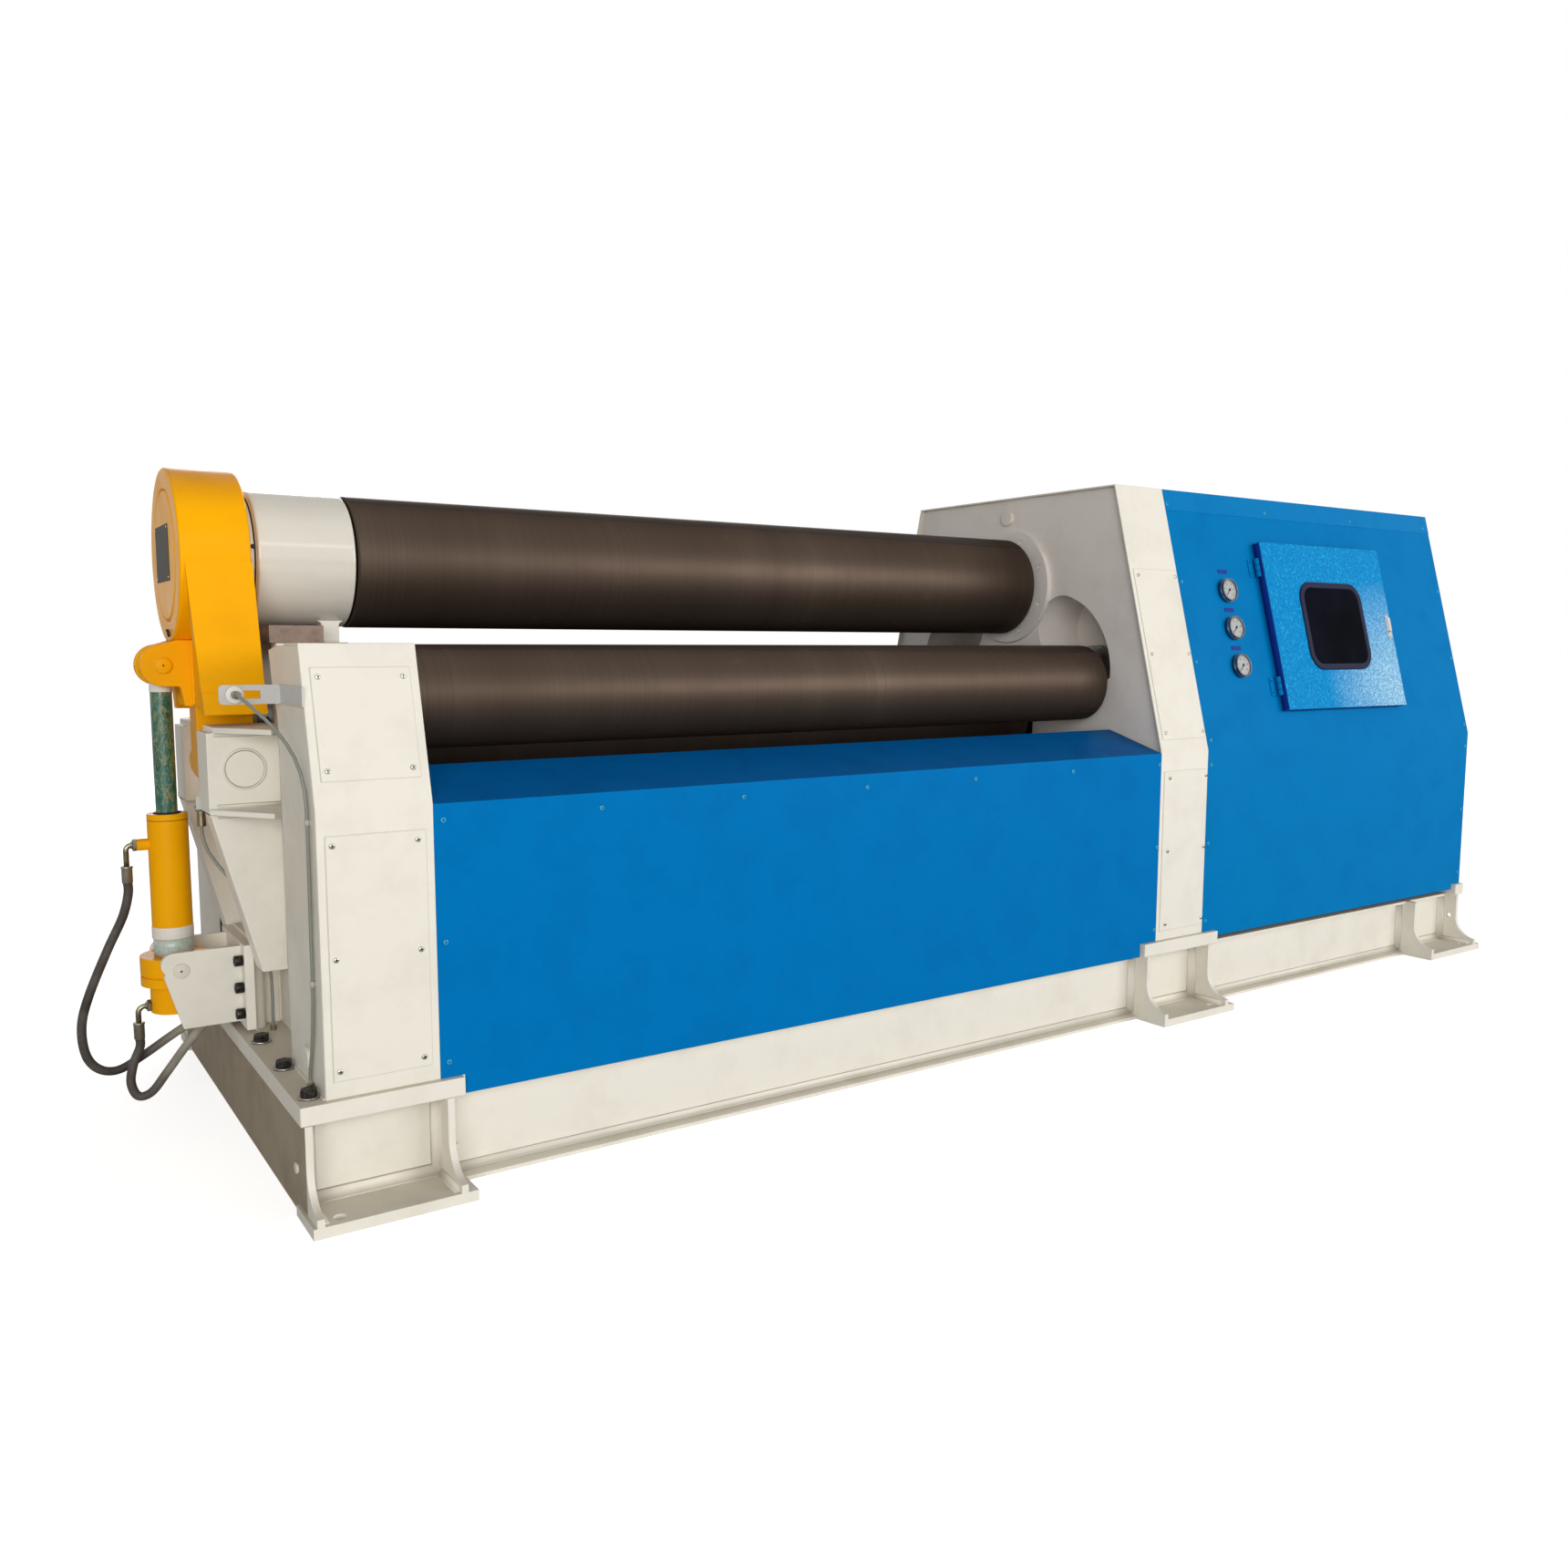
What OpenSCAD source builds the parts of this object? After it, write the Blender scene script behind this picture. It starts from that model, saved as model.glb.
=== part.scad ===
// Hydraulic four-roll plate rolling machine with a tilting drop end.
// X runs along the rolls from the drop end to the drive cabinet, +Y points to the rear, +Z up.
// Origin: floor level, at the centre of the four corner foundation bolts.

/* [Rolls] */
// Length of the roll bodies
roll_length = 2100; // [1600:10:2600]
// Diameter of the top roll
top_roll_d = 300; // [260:5:320]
// Diameter of the bottom roll
bottom_roll_d = 270; // [200:5:280]
// Diameter of each side roll
side_roll_d = 225; // [180:5:230]
// Height of the top roll's axis above the floor
top_roll_z = 1281; // [1240:1:1330]
// Height of the bottom roll's axis when it is lowered
bottom_roll_z = 860; // [840:1:880]
// Distance of each side roll's axis from the middle plane when it is lowered
side_roll_y = 348; // [330:1:370]
// Height of each side roll's axis when it is lowered
side_roll_z = 980; // [960:1:990]
// Lean of the side rolls' guides from the vertical, in degrees
guide_lean = 24; // [15:1:28]
// Travel of the side rolls along their guides
side_travel = 140; // [80:5:150]
// Travel of the bottom roll
bottom_travel = 110; // [60:5:120]
// Radius of the top roll's journals
top_journal_r = 95; // [80:1:105]
// Radius of the bottom roll's journals
bottom_journal_r = 68; // [50:1:75]
// Radius of the side rolls' journals
side_journal_r = 58; // [40:1:65]

/* [Columns] */
// Width of the drop-end column along the rolls
left_column_w = 222; // [200:1:260]
// Width of the drive-end column along the rolls
right_column_w = 209; // [190:1:260]
// Half of the depth of the columns, from the middle plane to the front face
half_depth = 647; // [620:1:700]
// Height at which the front faces start to slope back
bend_z = 783; // [740:1:800]
// Slope of the upper faces from the vertical, in degrees
slope_angle = 14.7; // [10:0.1:17]
// Height of the drop-end column
left_top_z = 1094; // [1060:1:1120]
// Height of the drive-end column and of the cabinet
right_top_z = 1566; // [1520:1:1640]
// Thickness of the sheet-metal covers
sheet = 5; // [3:0.5:6]
// Thickness of the screwed access plates
access_plate = 2; // [1.5:0.5:4]

/* [Cabinet] */
// Length of the drive cabinet along the rolls
cabinet_length = 1463; // [1300:1:1700]
// Width of the instrument door
door_w = 657; // [560:1:700]
// Length of the instrument door along the slope
door_h = 546; // [480:1:580]
// Depth of the instrument door
door_depth = 29; // [20:1:40]
// Opening angle of the instrument door, in degrees
door_swing = 110; // [60:1:120]
// Diameter of the pressure gauges
gauge_d = 75; // [50:1:90]

/* [Bed] */
// Height of the top of the mounting pads
pad_top_z = 231; // [210:1:260]
// Thickness of the mounting pads
pad_t = 38; // [25:1:50]
// Length of the pads under the columns, along the rolls
pad_w = 319; // [280:1:340]
// Length of the pad under the cabinet's far end
right_pad_w = 52; // [30:1:80]
// Length of each foot along the rolls
foot_w = 316; // [260:1:330]
// Reach of the feet from the middle plane
foot_reach = 730; // [725:1:780]
// Thickness of the bed's webs and flanges
bed_plate = 14; // [10:1:20]
// Reach of the bed beams' flanges in front of their webs
beam_flange = 26; // [15:1:40]
// Thickness of the foot plates
foot_t = 22; // [15:1:30]
// Distance of the foundation bolts from the middle plane
anchor_y = 700; // [690:1:720]
// Radius of the foundation bolt holes
anchor_r = 13; // [9:0.5:16]

/* [Drop end] */
// Width of the yoke's bearing ring along the rolls
yoke_w = 140; // [120:1:150]
// Outer radius of the yoke's bearing ring
yoke_r = 187; // [180:1:195]
// Height of the hinge pin's axis
hinge_z = 829; // [815:1:840]
// Radius of the hinge pin
hinge_pin_r = 30; // [20:1:35]
// Radius of the hub on the hinge pin
hinge_hub_r = 62; // [50:1:65]
// Tilt of the yoke when the drop end is open, in degrees
yoke_swing = 75; // [40:1:75]
// Outer radius of the tilt cylinder's barrel
barrel_r = 41.5; // [36:0.5:44]
// Radius of the tilt cylinder's rod
rod_r = 22; // [16:0.5:24]
// Outer radius of the tilt cylinder's hoses
hose_r = 9.5; // [8:0.5:12]

/* [Hidden] */
$fn = 72;

eps = 0.01;
fit = 0.08;           // radial clearance of a shaft in its bore
slide_fit = 0.5;      // clearance of a bearing block in its guide
seat = 0.3;           // gap between round faces that seat on each other
run_gap = 5;          // clearance of pieces that pass each other
screw_head_h = 3;

// Stations along the rolls, from the outer face of the drop-end column
gap_left = 14;
gap_right = 25;
roll_x0 = left_column_w + gap_left;
roll_x1 = roll_x0 + roll_length;
right_x0 = roll_x1 + gap_right;
right_x1 = right_x0 + right_column_w;
machine_x1 = right_x1 + cabinet_length;

// Foundation bolts, and the shift that puts the origin at their centre
anchor_left = 5;
anchor_right = machine_x1 - 58;
anchor_mid = right_x1 - 12;
origin_x = (anchor_left + anchor_right) / 2;

// Frame plates stand back from the covers' edges
frame_x0 = 50;
frame_x1 = left_column_w - 15;
drive_x0 = right_x0 + 15;
drive_x1 = right_x1 - 6;
face_t = 12;          // face of the drive-end frame, in front of its bearing blocks
back_t = 10;          // plate that closes its slots behind them

// Bearing blocks
block_half = 95;
side_block_half = 70;
side_slot_r = 114;
bottom_slot_r = 112;
ram_r = 45;
ram_length = 230;
block_x0 = frame_x0 + 10;
block_x1 = frame_x1 - 7;
drive_block_x0 = drive_x0 + face_t + run_gap;
drive_block_x1 = drive_x1 - back_t - run_gap;

// Inner edges of the two posts beside the drop end's bay
post_inner_y = 380;

// Mounting pads
pad_over = 51;
pad_bottom_z = pad_top_z - pad_t;
left_pad_x = -pad_over;
middle_pad_x = right_x0 - 62;
middle_pad_w = pad_w + 11;
right_pad_x = machine_x1 + 4 - right_pad_w;
pad_half = half_depth + 14;

// Feet, and the ends of the bed between them
middle_foot_x = right_x0 - 49;
right_foot_x = machine_x1 + 4 - foot_w;
gusset_in = 28;
left_gusset_in = 21;
bed_x0 = left_pad_x + 7;
bed_x1 = right_foot_x + foot_w - gusset_in;
web_y = half_depth - 47;

// Drop end
yoke_x1 = 3;
yoke_x0 = yoke_x1 - yoke_w;
hinge_x = -32;
neck_bore_r = 98;
neck_r = 84;
lug_x = -158;
lug_z = 1046;
lug_r = 45;
lug_pin_r = 16;
trunnion_z = 384;
trunnion_r = 16;
arm_t = 28;
arm_bottom_z = 944;
web_x0 = -100;
web_t = 30;
web_bottom_z = 957;

// Cabinet door, along the slope
slope_tan = tan(slope_angle);
door_x0 = right_x1 + 391;
gauge_x = right_x1 + 217;
door_mid_z = 1150;
door_recess = 140;
window_w = 352;
window_h = 296;

function mirror_y(points) = concat(points, [for (i = [len(points) - 1:-1:0]) [-points[i][0], points[i][1]]]);

// Outline of a column or of the cabinet in the YZ plane, set inwards by a sheet's thickness
function shell_outline(top_z, inset = 0) = mirror_y([
    [-(half_depth - inset), pad_top_z],
    [-(half_depth - inset), bend_z - inset * tan(slope_angle / 2)],
    [-(half_depth - (top_z - inset - bend_z) * slope_tan - inset / cos(slope_angle)), top_z - inset]
]);

// Extrudes a YZ outline along X from x0 to x1
module along_x(x0, x1) {
    translate([x0, 0, 0]) rotate([90, 0, 90]) linear_extrude(height = x1 - x0) children();
}

// Extrudes an XZ outline along Y from y0 to y1
module along_y(y0, y1) {
    translate([0, y1, 0]) rotate([90, 0, 0]) linear_extrude(height = y1 - y0) children();
}

// Cylinder along X
module bar_x(x0, x1, r) {
    translate([x0, 0, 0]) rotate([0, 90, 0]) cylinder(h = x1 - x0, r = r);
}

// Cylinder along Y
module bar_y(y0, y1, r) {
    translate([0, y0, 0]) rotate([-90, 0, 0]) cylinder(h = y1 - y0, r = r);
}

// Box from one corner to the other
module block(a, b) {
    translate(a) cube(b - a);
}

module mirrored_y() {
    children();
    mirror([0, 1, 0]) children();
}

// Rectangle with rounded corners
module rounded_square(w, h, r) {
    union() {
        square([w - 2 * r, h], center = true);
        square([w, h - 2 * r], center = true);
        for (x = [-1, 1], y = [-1, 1]) translate([x * (w / 2 - r), y * (h / 2 - r)]) circle(r = r);
    }
}

// ---- Bed ----

// Channel with tapered flanges that point outwards, in the YZ plane
module channel_outline() {
    tip_y = web_y + beam_flange;
    tip_t = bed_plate * 0.6;
    polygon([
        [-web_y + bed_plate, 0], [-tip_y, 0], [-tip_y, tip_t], [-web_y, bed_plate + 4],
        [-web_y, pad_bottom_z - bed_plate - 4], [-tip_y, pad_bottom_z - tip_t],
        [-tip_y, pad_bottom_z], [-web_y + bed_plate, pad_bottom_z]
    ]);
}

module front_beam() { color("ivory") along_x(bed_x0 + bed_plate, bed_x1 - bed_plate) channel_outline(); }
module rear_beam() { mirror([0, 1, 0]) front_beam(); }

module end_beam(x0) {
    color("ivory") block([x0, -pad_half + 1, 0], [x0 + bed_plate, pad_half - 1, pad_bottom_z]);
}

module left_end_beam() { end_beam(bed_x0); }

module right_end_beam() {
    difference() {
        end_beam(bed_x1 - bed_plate);
        mirrored_y() translate([0, -634, 113]) bar_x(bed_x1 - bed_plate - 1, bed_x1 + 1, 8);
    }
}

module cross_beams() {
    y = web_y - bed_plate;
    left_x = left_pad_x + foot_w - left_gusset_in - bed_plate;
    color("ivory") for (x = [left_x, middle_foot_x, middle_foot_x + foot_w - gusset_in - bed_plate, right_foot_x])
        block([x, -y, 0], [x + bed_plate, y, pad_bottom_z]);
}

// Foot: floor plate with two flared gussets, set in from its ends
module foot(x0, in0, in1) {
    w = foot_w;
    flare_r = 74;
    flare_z = foot_t + 16 + flare_r;
    difference() {
        union() {
            block([x0, -foot_reach, 0], [x0 + w, -web_y, foot_t]);
            for (x = [x0 + in0, x0 + w - in1 - bed_plate]) along_x(x, x + bed_plate) difference() {
                translate([-foot_reach, foot_t - eps]) square([foot_reach - web_y, pad_bottom_z - foot_t + eps]);
                translate([-pad_half - flare_r, flare_z]) circle(r = flare_r);
                translate([-pad_half - flare_r, flare_z]) square([flare_r, pad_bottom_z]);
            }
        }
        along_x(bed_x0, bed_x1) channel_outline();
        block([bed_x0, -pad_half + 1, -1], [bed_x0 + bed_plate, 0, pad_bottom_z + 1]);
        block([bed_x1 - bed_plate, -pad_half + 1, -1], [bed_x1, 0, pad_bottom_z + 1]);
        for (x = [anchor_left, anchor_mid, anchor_right])
            translate([x, -anchor_y, -1]) cylinder(h = foot_t + 2, r = anchor_r);
    }
}

module feet() {
    color("ivory") {
        foot(left_pad_x, bed_x0 - left_pad_x, left_gusset_in);
        foot(middle_foot_x, 0, gusset_in);
        foot(right_foot_x, 0, gusset_in);
    }
}

module front_feet() { feet(); }
module rear_feet() { mirror([0, 1, 0]) feet(); }

module pad(x0, w) {
    color("ivory") block([x0, -pad_half, pad_bottom_z], [x0 + w, pad_half, pad_top_z]);
}

module left_pad() { pad(left_pad_x, pad_w); }
module middle_pad() { pad(middle_pad_x, middle_pad_w); }
module right_pad() { pad(right_pad_x, right_pad_w); }

// ---- Columns ----

// Moves its children along the front side roll's guide, from that roll's lowered axis
module on_guide() {
    translate([-side_roll_y, side_roll_z]) rotate(-guide_lean) children();
}

// Slot for a side roll's bearing block in the YZ plane, closed at the top when it is a full one
module side_slot(closed) {
    top = side_travel + 18;
    bottom = -side_block_half - 2 * run_gap;
    on_guide() {
        translate([-side_slot_r, bottom]) square([2 * side_slot_r, (closed ? top : 400) - bottom]);
        if (closed) translate([0, top]) circle(r = side_slot_r);
    }
}

// Opening in the drive-end frame that a side roll's neck passes through, wider towards its outer side
module neck_window() {
    upper = [119 - side_roll_y, side_roll_z + 168];
    upper_r = 100;
    outer = [160 - side_roll_y, side_roll_z + 30];
    outer_r = 243;
    translate(upper) circle(r = upper_r);
    translate([-side_roll_y, side_roll_z]) circle(r = side_journal_r + 15);
    intersection() {
        translate(outer) circle(r = outer_r);
        translate(upper) union() {
            rotate(atan2(upper[1] - outer[1], upper[0] - outer[0]) - 90) translate([-400, 0]) square([400, 200]);
            rotate(-35) translate([-400, -240]) square([400 + upper_r, 240]);
        }
        translate([-600, side_roll_z - 50]) square([600, 400]);
    }
}

// Bore for the ram that lifts a side roll's bearing block
module side_ram_bore(x) {
    translate([x, -side_roll_y, side_roll_z]) rotate([-guide_lean, 0, 0]) mirror([0, 0, 1])
        translate([0, 0, side_block_half]) cylinder(h = ram_length + 30, r = ram_r + fit);
}

module bottom_slot(top_z) {
    translate([-bottom_slot_r, bottom_roll_z - block_half - 2 * run_gap])
        square([2 * bottom_slot_r, top_z - bottom_roll_z + block_half + 2 * run_gap]);
}

module bottom_ram_bore(x) {
    translate([x, 0, bottom_roll_z - block_half - ram_length - 30])
        cylinder(h = ram_length + 30, r = ram_r + fit);
}

module frame_plate(x0, x1, top_z, closed, ram_x) {
    slot_x1 = closed ? x1 - back_t : x1 + 1;
    difference() {
        along_x(x0, x1) polygon(shell_outline(top_z, sheet));
        along_x(closed ? x0 + face_t : x0 - 1, slot_x1) {
            side_slot(closed);
            mirror([1, 0]) side_slot(closed);
        }
        along_x(x0 - 1, slot_x1) {
            bottom_slot(closed ? bottom_roll_z + bottom_travel + block_half + 2 * run_gap : top_z + 10);
            if (closed) {
                neck_window();
                mirror([1, 0]) neck_window();
            }
        }
        mirrored_y() side_ram_bore(ram_x);
        bottom_ram_bore(ram_x);
    }
}

// The drop-end frame rises to the covers' height between the side rolls' slots
module left_frame() {
    horn_y = side_roll_y - side_slot_r - 74;
    color("ivory") {
        frame_plate(frame_x0, frame_x1, left_top_z, false, (block_x0 + block_x1) / 2);
        mirrored_y() block([frame_x0, -horn_y, left_top_z - sheet - eps], [frame_x1, -bottom_slot_r, left_top_z]);
    }
}

module right_frame() {
    color("silver") difference() {
        frame_plate(drive_x0, drive_x1, right_top_z, true, (drive_block_x0 + drive_block_x1) / 2);
        translate([0, 0, top_roll_z]) bar_x(drive_x0 - 1, drive_x1 + 1, top_journal_r + fit);
    }
}

// Sheet wrapped round the front, top and rear of a column
module column_wrap(x0, x1, top_z) {
    along_x(x0, x1) difference() {
        polygon(shell_outline(top_z));
        polygon([for (p = shell_outline(top_z, sheet)) [p[0], p[1] == pad_top_z ? p[1] - 1 : p[1]]]);
    }
}

// Folded front and rear sheets of the drop-end column, open between the two posts
module left_column_cover() {
    color("ivory") difference() {
        column_wrap(0, left_column_w, left_top_z);
        block([-1, -post_inner_y - 70, pad_top_z - 1], [left_column_w + 1, post_inner_y + 70, left_top_z + 10]);
    }
}

// End sheets of the two posts beside the drop end's bay
module left_end_plates() {
    color("ivory") mirrored_y() along_x(0, sheet) intersection() {
        polygon(shell_outline(left_top_z, sheet));
        polygon([
            [-half_depth, pad_top_z], [-post_inner_y, pad_top_z], [-post_inner_y, left_top_z - 174],
            [8 - post_inner_y, left_top_z - 144], [42 - post_inner_y, left_top_z - 79],
            [61 - post_inner_y, left_top_z - 14], [-post_inner_y - 51, left_top_z], [-half_depth, left_top_z]
        ]);
    }
}

module right_column_cover() {
    color("ivory") column_wrap(right_x0, right_x1, right_top_z);
}

// Places a flat piece on the front slope, at station x and height z: local X along the rolls, local Y up
// the slope, local Z out of the face
module on_slope(x, z) {
    translate([x, -(half_depth - (z - bend_z) * slope_tan) - eps, z]) rotate([90 - slope_angle, 0, 0]) children();
}

module on_front(x, z) {
    translate([x, -half_depth, z]) rotate([90, 0, 0]) children();
}

module access_sheet(w, h) {
    linear_extrude(height = access_plate) square([w, h], center = true);
}

module column_access_plates() {
    left_mid = left_column_w / 2;
    right_mid = (right_x0 + right_x1) / 2 + 4;
    color("ivory") mirrored_y() {
        on_slope(left_mid, 942) access_sheet(188, 218);
        on_front(left_mid, 500) access_sheet(190, 470);
        on_slope(right_mid, 1069) access_sheet(190, 512);
        on_front(right_mid, 494) access_sheet(190, 470);
    }
}

// Ring that keeps the top roll's bearing in the drive-end column
module top_bearing_flange() {
    color("gainsboro") translate([0, 0, top_roll_z]) difference() {
        bar_x(right_x0, drive_x0, 178);
        bar_x(right_x0 - 1, drive_x0 + 1, top_journal_r + fit);
        for (a = [22.5:45:337.5]) rotate([a, 0, 0]) translate([0, 152, 0]) bar_x(right_x0 - 1, right_x0 + 6, 9);
    }
}

// ---- Guards over the lower rolls ----

module guard() {
    back_y = 450;
    back_z = 842;
    bottom_z = 192;
    x0 = left_column_w;
    x1 = right_x0;
    color("dodgerblue") difference() {
        along_x(x0, x1) polygon([
            [-half_depth, bottom_z],
            [-half_depth, bend_z],
            [-back_y, back_z],
            [-back_y, back_z - sheet],
            [-half_depth + sheet, bend_z - sheet * 0.7],
            [-half_depth + sheet, bottom_z]
        ]);
        block([x0 - 1, -half_depth - 1, bottom_z - 1], [left_pad_x + pad_w + run_gap, -half_depth + sheet + 1, pad_top_z]);
        block([middle_pad_x - run_gap, -half_depth - 1, bottom_z - 1], [x1 + 1, -half_depth + sheet + 1, pad_top_z]);
    }
}

module front_guard() { guard(); }
module rear_guard() { mirror([0, 1, 0]) guard(); }

// ---- Drive cabinet ----

// Front or rear sheet of the cabinet, folded at the bend
module cabinet_sheet() {
    outer = shell_outline(right_top_z);
    inner = shell_outline(right_top_z, sheet);
    bottom_z = 212;
    difference() {
        along_x(right_x1, machine_x1) polygon([
            [outer[0][0], bottom_z], outer[1], outer[2], [outer[2][0] + 40, outer[2][1]],
            [outer[2][0] + 40, inner[2][1]], inner[2], inner[1], [inner[0][0], bottom_z]
        ]);
        block([right_x1 - 1, -half_depth - 1, bottom_z - 1],
              [middle_pad_x + middle_pad_w + run_gap, -half_depth + sheet + 1, pad_top_z]);
        block([right_pad_x - run_gap, -half_depth - 1, bottom_z - 1],
              [machine_x1 + 1, -half_depth + sheet + 1, pad_top_z]);
    }
}

door_open_w = door_w - 70;
door_open_h = door_h - 70;

module cabinet_front() {
    color("dodgerblue") difference() {
        cabinet_sheet();
        on_slope(door_x0 + door_w / 2, door_mid_z)
            translate([-door_open_w / 2, -door_open_h / 2, -20]) cube([door_open_w, door_open_h, 40]);
    }
}

module cabinet_rear() { color("dodgerblue") mirror([0, 1, 0]) cabinet_sheet(); }

module cabinet_top() {
    y = -shell_outline(right_top_z)[2][0] - 40;
    color("dodgerblue") block([right_x1, -y, right_top_z - sheet], [machine_x1, y, right_top_z]);
}

module cabinet_end() {
    color("dodgerblue") along_x(machine_x1 - sheet, machine_x1) polygon(shell_outline(right_top_z, sheet));
}

// Box behind the instrument door
module instrument_box() {
    wall = 3;
    color("lightgray") on_slope(door_x0 + door_w / 2, door_mid_z) translate([0, 0, -sheet - 2 * eps]) mirror([0, 0, 1])
        difference() {
            translate([-door_open_w / 2 - wall, -door_open_h / 2 - wall, 0])
                cube([door_open_w + 2 * wall, door_open_h + 2 * wall, door_recess]);
            translate([-door_open_w / 2, -door_open_h / 2, -1])
                cube([door_open_w, door_open_h, door_recess - wall + 1]);
        }
}

// Centre and size of the door are shared by its window, hinges and latch
module on_door() {
    on_slope(door_x0 + door_w / 2, door_mid_z) children();
}

door_gap = 0.5;

module door_panel() {
    skin = 2;
    color("dodgerblue") on_door() translate([0, 0, door_gap]) difference() {
        translate([-door_w / 2, -door_h / 2, 0]) cube([door_w, door_h, door_depth]);
        translate([-door_w / 2 + skin, -door_h / 2 + skin, -1])
            cube([door_w - 2 * skin, door_h - 2 * skin, door_depth - skin + 1]);
        translate([0, 0, -1]) linear_extrude(height = door_depth + 2) rounded_square(window_w - 30, window_h - 30, 35);
    }
}

module door_window() {
    color("black") on_door() translate([0, 0, door_gap + door_depth]) {
        linear_extrude(height = 6) difference() {
            rounded_square(window_w, window_h, 48);
            rounded_square(window_w - 40, window_h - 40, 32);
        }
        linear_extrude(height = 4) rounded_square(window_w - 40, window_h - 40, 32);
    }
}

hinge_axis_out = 12;
hinge_axis_side = 8;

module door_hinges() {
    color("dimgray") on_door() for (y = [-door_h / 2 + 80, door_h / 2 - 80])
        translate([-door_w / 2 - hinge_axis_side, y - 30, hinge_axis_out]) rotate([-90, 0, 0])
            cylinder(h = 60, r = hinge_axis_side);
}

module door_latch() {
    color("silver") on_door() translate([door_w / 2 - 22, 0, door_gap + door_depth]) {
        linear_extrude(height = 3) rounded_square(24, 82, 8);
        linear_extrude(height = 12) rounded_square(12, 46, 5);
    }
}

// Three gauges in a row beside the door
module pressure_gauges() {
    color("silver") for (z = [1029, 1145, 1261]) on_slope(gauge_x, z) {
        cylinder(h = 12, r = gauge_d / 2);
        difference() {
            translate([0, 0, 12]) cylinder(h = 8, r = gauge_d / 2 - 2);
            translate([0, 0, 15]) cylinder(h = 6, r = gauge_d / 2 - 6);
        }
    }
}

// Hexagon bolts that hold the drop-end frame to its pad
module frame_bolts() {
    bolt_x = -22;
    color("dimgray") for (y = [-609, -405, -197, 197, 405, 609]) translate([bolt_x, y, pad_top_z]) {
        cylinder(h = 4, r = 21);
        cylinder(h = 20, r = 17, $fn = 6);
    }
}

// Plugs in the column's side, the bed's end, the first foot's gusset and the drive-end frame
module round_plugs() {
    gusset_x1 = left_pad_x + foot_w - left_gusset_in;
    color("ivory") {
        mirrored_y() {
            translate([0, -524, 284]) bar_x(-8, 0, 24);
            translate([0, -594, 92]) bar_x(bed_x0 - 5, bed_x0, 11);
            translate([0, -640, 84]) bar_x(gusset_x1, gusset_x1 + 11, 7);
        }
        translate([0, 16, 1504]) bar_x(drive_x0 - 12, drive_x0, 24);
    }
}

// ---- Top roll's fixed end housing ----

housing_x0 = 24;
housing_x1 = roll_x0 - run_gap;

module roll_end_housing() {
    color("ivory") translate([0, 0, top_roll_z]) difference() {
        union() {
            bar_x(housing_x0, housing_x1, top_roll_d / 2 - 1);
            bar_x(yoke_x1 + run_gap, housing_x0 + 1, top_roll_d / 2 - 12);
        }
        bar_x(yoke_x1, housing_x1 + 1, top_journal_r + fit);
    }
}

cap_x0 = frame_x0 - 10;
cap_x1 = left_column_w - 67;
cap_top_z = left_top_z + 39;
cap_plate_z = left_top_z + 2;

// Bridge over the bottom roll's slot, hollowed under the end housing, with the plate that carries its support
module slot_cap() {
    cap_y = 145;
    tongue_y = bottom_slot_r - slide_fit;
    color("gray") {
        difference() {
            block([cap_x0, -cap_y, left_top_z], [cap_x1, cap_y, cap_top_z]);
            translate([0, 0, top_roll_z]) bar_x(cap_x0 - 1, cap_x1 + 1, top_roll_d / 2 - 1 + run_gap);
        }
        block([cap_x1 - 1, -cap_y, left_top_z], [frame_x1, cap_y, cap_plate_z]);
        block([cap_x1 - 1, -tongue_y, left_top_z - 14], [left_column_w - 6, tongue_y, cap_plate_z]);
    }
}

// Foot under the end housing, flared where it meets it
module housing_support() {
    x0 = left_column_w - 50;
    x1 = left_column_w - 12;
    y = 62;
    flare = 8;
    neck_z = top_roll_z - 146;
    color("ivory") difference() {
        union() {
            block([x0, -y, cap_plate_z], [x1, y, top_roll_z]);
            block([x0 - flare, -y, neck_z], [x1 + flare, y, top_roll_z]);
        }
        translate([0, 0, top_roll_z]) bar_x(x0 - 60, x1 + 60, top_roll_d / 2 - 1 + seat);
        for (x = [x0 - flare, x1 + flare]) translate([x, 0, neck_z]) bar_y(-y - 1, y + 1, flare);
    }
}

// ---- Drop-end hinge ----

bracket_inner_y = 90;
bracket_outer_y = 200;
bracket_left = -105;
bracket_top_z = 907;
bracket_low_z = 741;
bracket_foot_z = 385;
bracket_flange_t = 12;
gusset_inner_y = 132;

// Flange of the bracket, wider towards the column
module bracket_flange(z, left) {
    translate([0, 0, z]) linear_extrude(height = bracket_flange_t) polygon([
        [left, -bracket_outer_y - 5], [-6, -340], [28, -305], [frame_x0, -290],
        [frame_x0, -bracket_inner_y], [left, -bracket_inner_y]
    ]);
}

module hinge_cheek() {
    color("ivory") difference() {
        union() {
            block([bracket_left, -bracket_outer_y, bracket_low_z], [frame_x0, -bracket_inner_y, bracket_top_z]);
            along_y(-bracket_outer_y, -gusset_inner_y) polygon([
                [bracket_left, bracket_low_z], [frame_x0, bracket_low_z],
                [frame_x0, bracket_foot_z], [-13, bracket_foot_z]
            ]);
            bracket_flange(bracket_top_z, -92);
            bracket_flange(bracket_low_z - bracket_flange_t / 2, bracket_left);
            translate([hinge_x, 0, hinge_z]) bar_y(-bracket_outer_y + 1, -bracket_inner_y, hinge_pin_r + 18);
        }
        translate([hinge_x, 0, hinge_z]) bar_y(-bracket_outer_y - 1, -bracket_inner_y + 1, hinge_pin_r);
    }
}

module hinge_bracket_front() { hinge_cheek(); }
module hinge_bracket_rear() { mirror([0, 1, 0]) hinge_cheek(); }

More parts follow.
